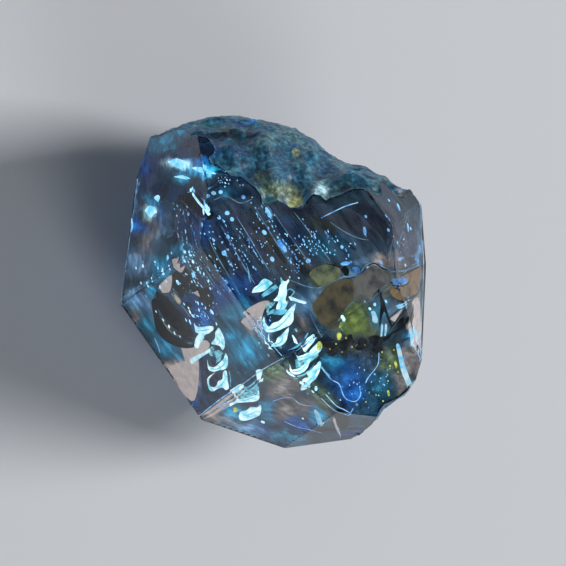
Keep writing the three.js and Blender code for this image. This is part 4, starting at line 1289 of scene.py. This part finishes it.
def make_bright_panes(crystal):
    """The bright shelves of the stepped hollows, and the drops and flares that outshine the rest."""
    step = glowing("step_glow", (0.84, 1.0, 0.97), 1.05, (0.06, 0.50, 0.62), 0.3, 4.0)
    make_panes(crystal, "hopper_steps", HOPPER_STEPS, STEP_DEPTH, step)
    yellow = glowing("yellow_glow", (0.75, 0.75, 0.10), 0.8, MOSS)
    make_panes(crystal, "yellow_drops", YELLOW_PANES, SPARK_DEPTH, yellow)
    # The pale panes and the flares are painted highlights.
    pale = glowing("pale_highlight_glow", (0.60, 0.72, 0.72), 0.7, CYAN)
    make_panes(crystal, "pale_highlights", PALE_HIGHLIGHTS, FLARE_DEPTH, pale)
    flare = glowing("flare_glow", ICE, 1.3, CYAN, 0.3, 2.0)
    make_panes(crystal, "bright_flares", FLARES, FLARE_DEPTH, flare)


def make_oil_panes(crystal):
    """Panes of the inner walls and hollows: painted shade in the dark slots, and oil that shows tan, brown,
    olive, teal or blue.
    """
    # Painted shade in the slots and corners of the hollows and under the rough side's edge.
    slot = dark_stuff("painted_slot_shade", (0.001, 0.004, 0.012), (0.01, 0.05, 0.13), 0.3, 2.5, (1, 1, 1), 0.6)
    make_panes(crystal, "shaded_slots", SHADE_SLOTS, SLOT_DEPTH, slot)
    tan = glowing("tan_glow", TAN, 1.0, (0.33, 0.28, 0.27))
    make_panes(crystal, "tan_panes", TAN_PANES, TAN_DEPTH, tan)
    brown = glowing("brown_glow", (0.21, 0.12, 0.05), 0.7, (0.07, 0.045, 0.025))
    make_panes(crystal, "brown_panes", BROWN_PANES, TAN_DEPTH, brown)
    deep = glowing("pocket_brown_glow", (0.105, 0.082, 0.042), 0.7, (0.018, 0.020, 0.020), 0.3, 2.6)
    make_panes(crystal, "pocket_brown", POCKET_BROWN, POCKET_DEPTH, deep)
    grey = glowing("pocket_grey_glow", (0.15, 0.135, 0.115), 0.7, (0.03, 0.035, 0.045), 0.3, 2.6)
    make_panes(crystal, "pocket_grey", POCKET_GREY, POCKET_DEPTH, grey)
    olive = glowing("olive_glow", (0.19, 0.20, 0.095), 0.7, (0.03, 0.04, 0.04), 0.3, 3.0)
    make_panes(crystal, "olive_panes", OLIVE_PANES, POCKET_DEPTH, olive)
    teal = glowing("teal_glow", (0.24, 0.62, 0.66), 0.8, (0.005, 0.06, 0.11), 0.3, 6.5)
    make_panes(crystal, "teal_panes", TEAL_PANES, STREAK_DEPTH, teal)
    blue = glowing("blue_glow", (0.10, 0.30, 0.62), 0.8, (0.01, 0.06, 0.20), 0.3, 4.0)
    make_panes(crystal, "blue_panes", BLUE_PANES, PLATE_DEPTH, blue)


def make_step_bands(crystal):
    """Teal lines on the bright shelves, and teal bands between them."""
    line = glowing("line_tone", (0.22, 0.62, 0.72), 0.8, (0.08, 0.38, 0.50))
    make_ribbons(crystal, "step_lines", STEP_LINES, STEP_LINE_DEPTH, line)
    band = glowing("band_glow", (0.16, 0.55, 0.66), 0.9, (0.005, 0.08, 0.2))
    make_ribbons(crystal, "teal_bands", TEAL_BANDS, BAND_DEPTH, band)


crystal = make_quartz()
bitumen = dark_stuff("bitumen", (0.0004, 0.0005, 0.0008), (0.016, 0.018, 0.014), 0.12, 2.4, (4, 1, 1), 0.1)
film = make_inclusions(bitumen)
make_fingers(crystal, film)
line_look = glowing("line_glow", (0.16, 0.27, 0.36), 0.9, (0.02, 0.05, 0.10))
make_ribbons(crystal, "oil_lines", FILM_LINES + POCKET_LINES, LINE_DEPTH, line_look)
make_beads(crystal, film)
make_bitumen_films(crystal, bitumen)
make_bright_panes(crystal)
make_oil_panes(crystal)
make_glints(crystal)
make_step_bands(crystal)
make_sparks(crystal)
make_cracks(crystal)
# Painted highlights along the crystal's outer edges.
edge_highlight_look = glowing("edge_highlight_glow", (0.40, 0.66, 0.78), 0.8, (0.02, 0.14, 0.45))
make_ribbons(crystal, "edge_highlights", EDGE_HIGHLIGHTS, EDGE_DEPTH, edge_highlight_look)
make_veils(crystal)
make_floor()
make_studio()
make_camera()
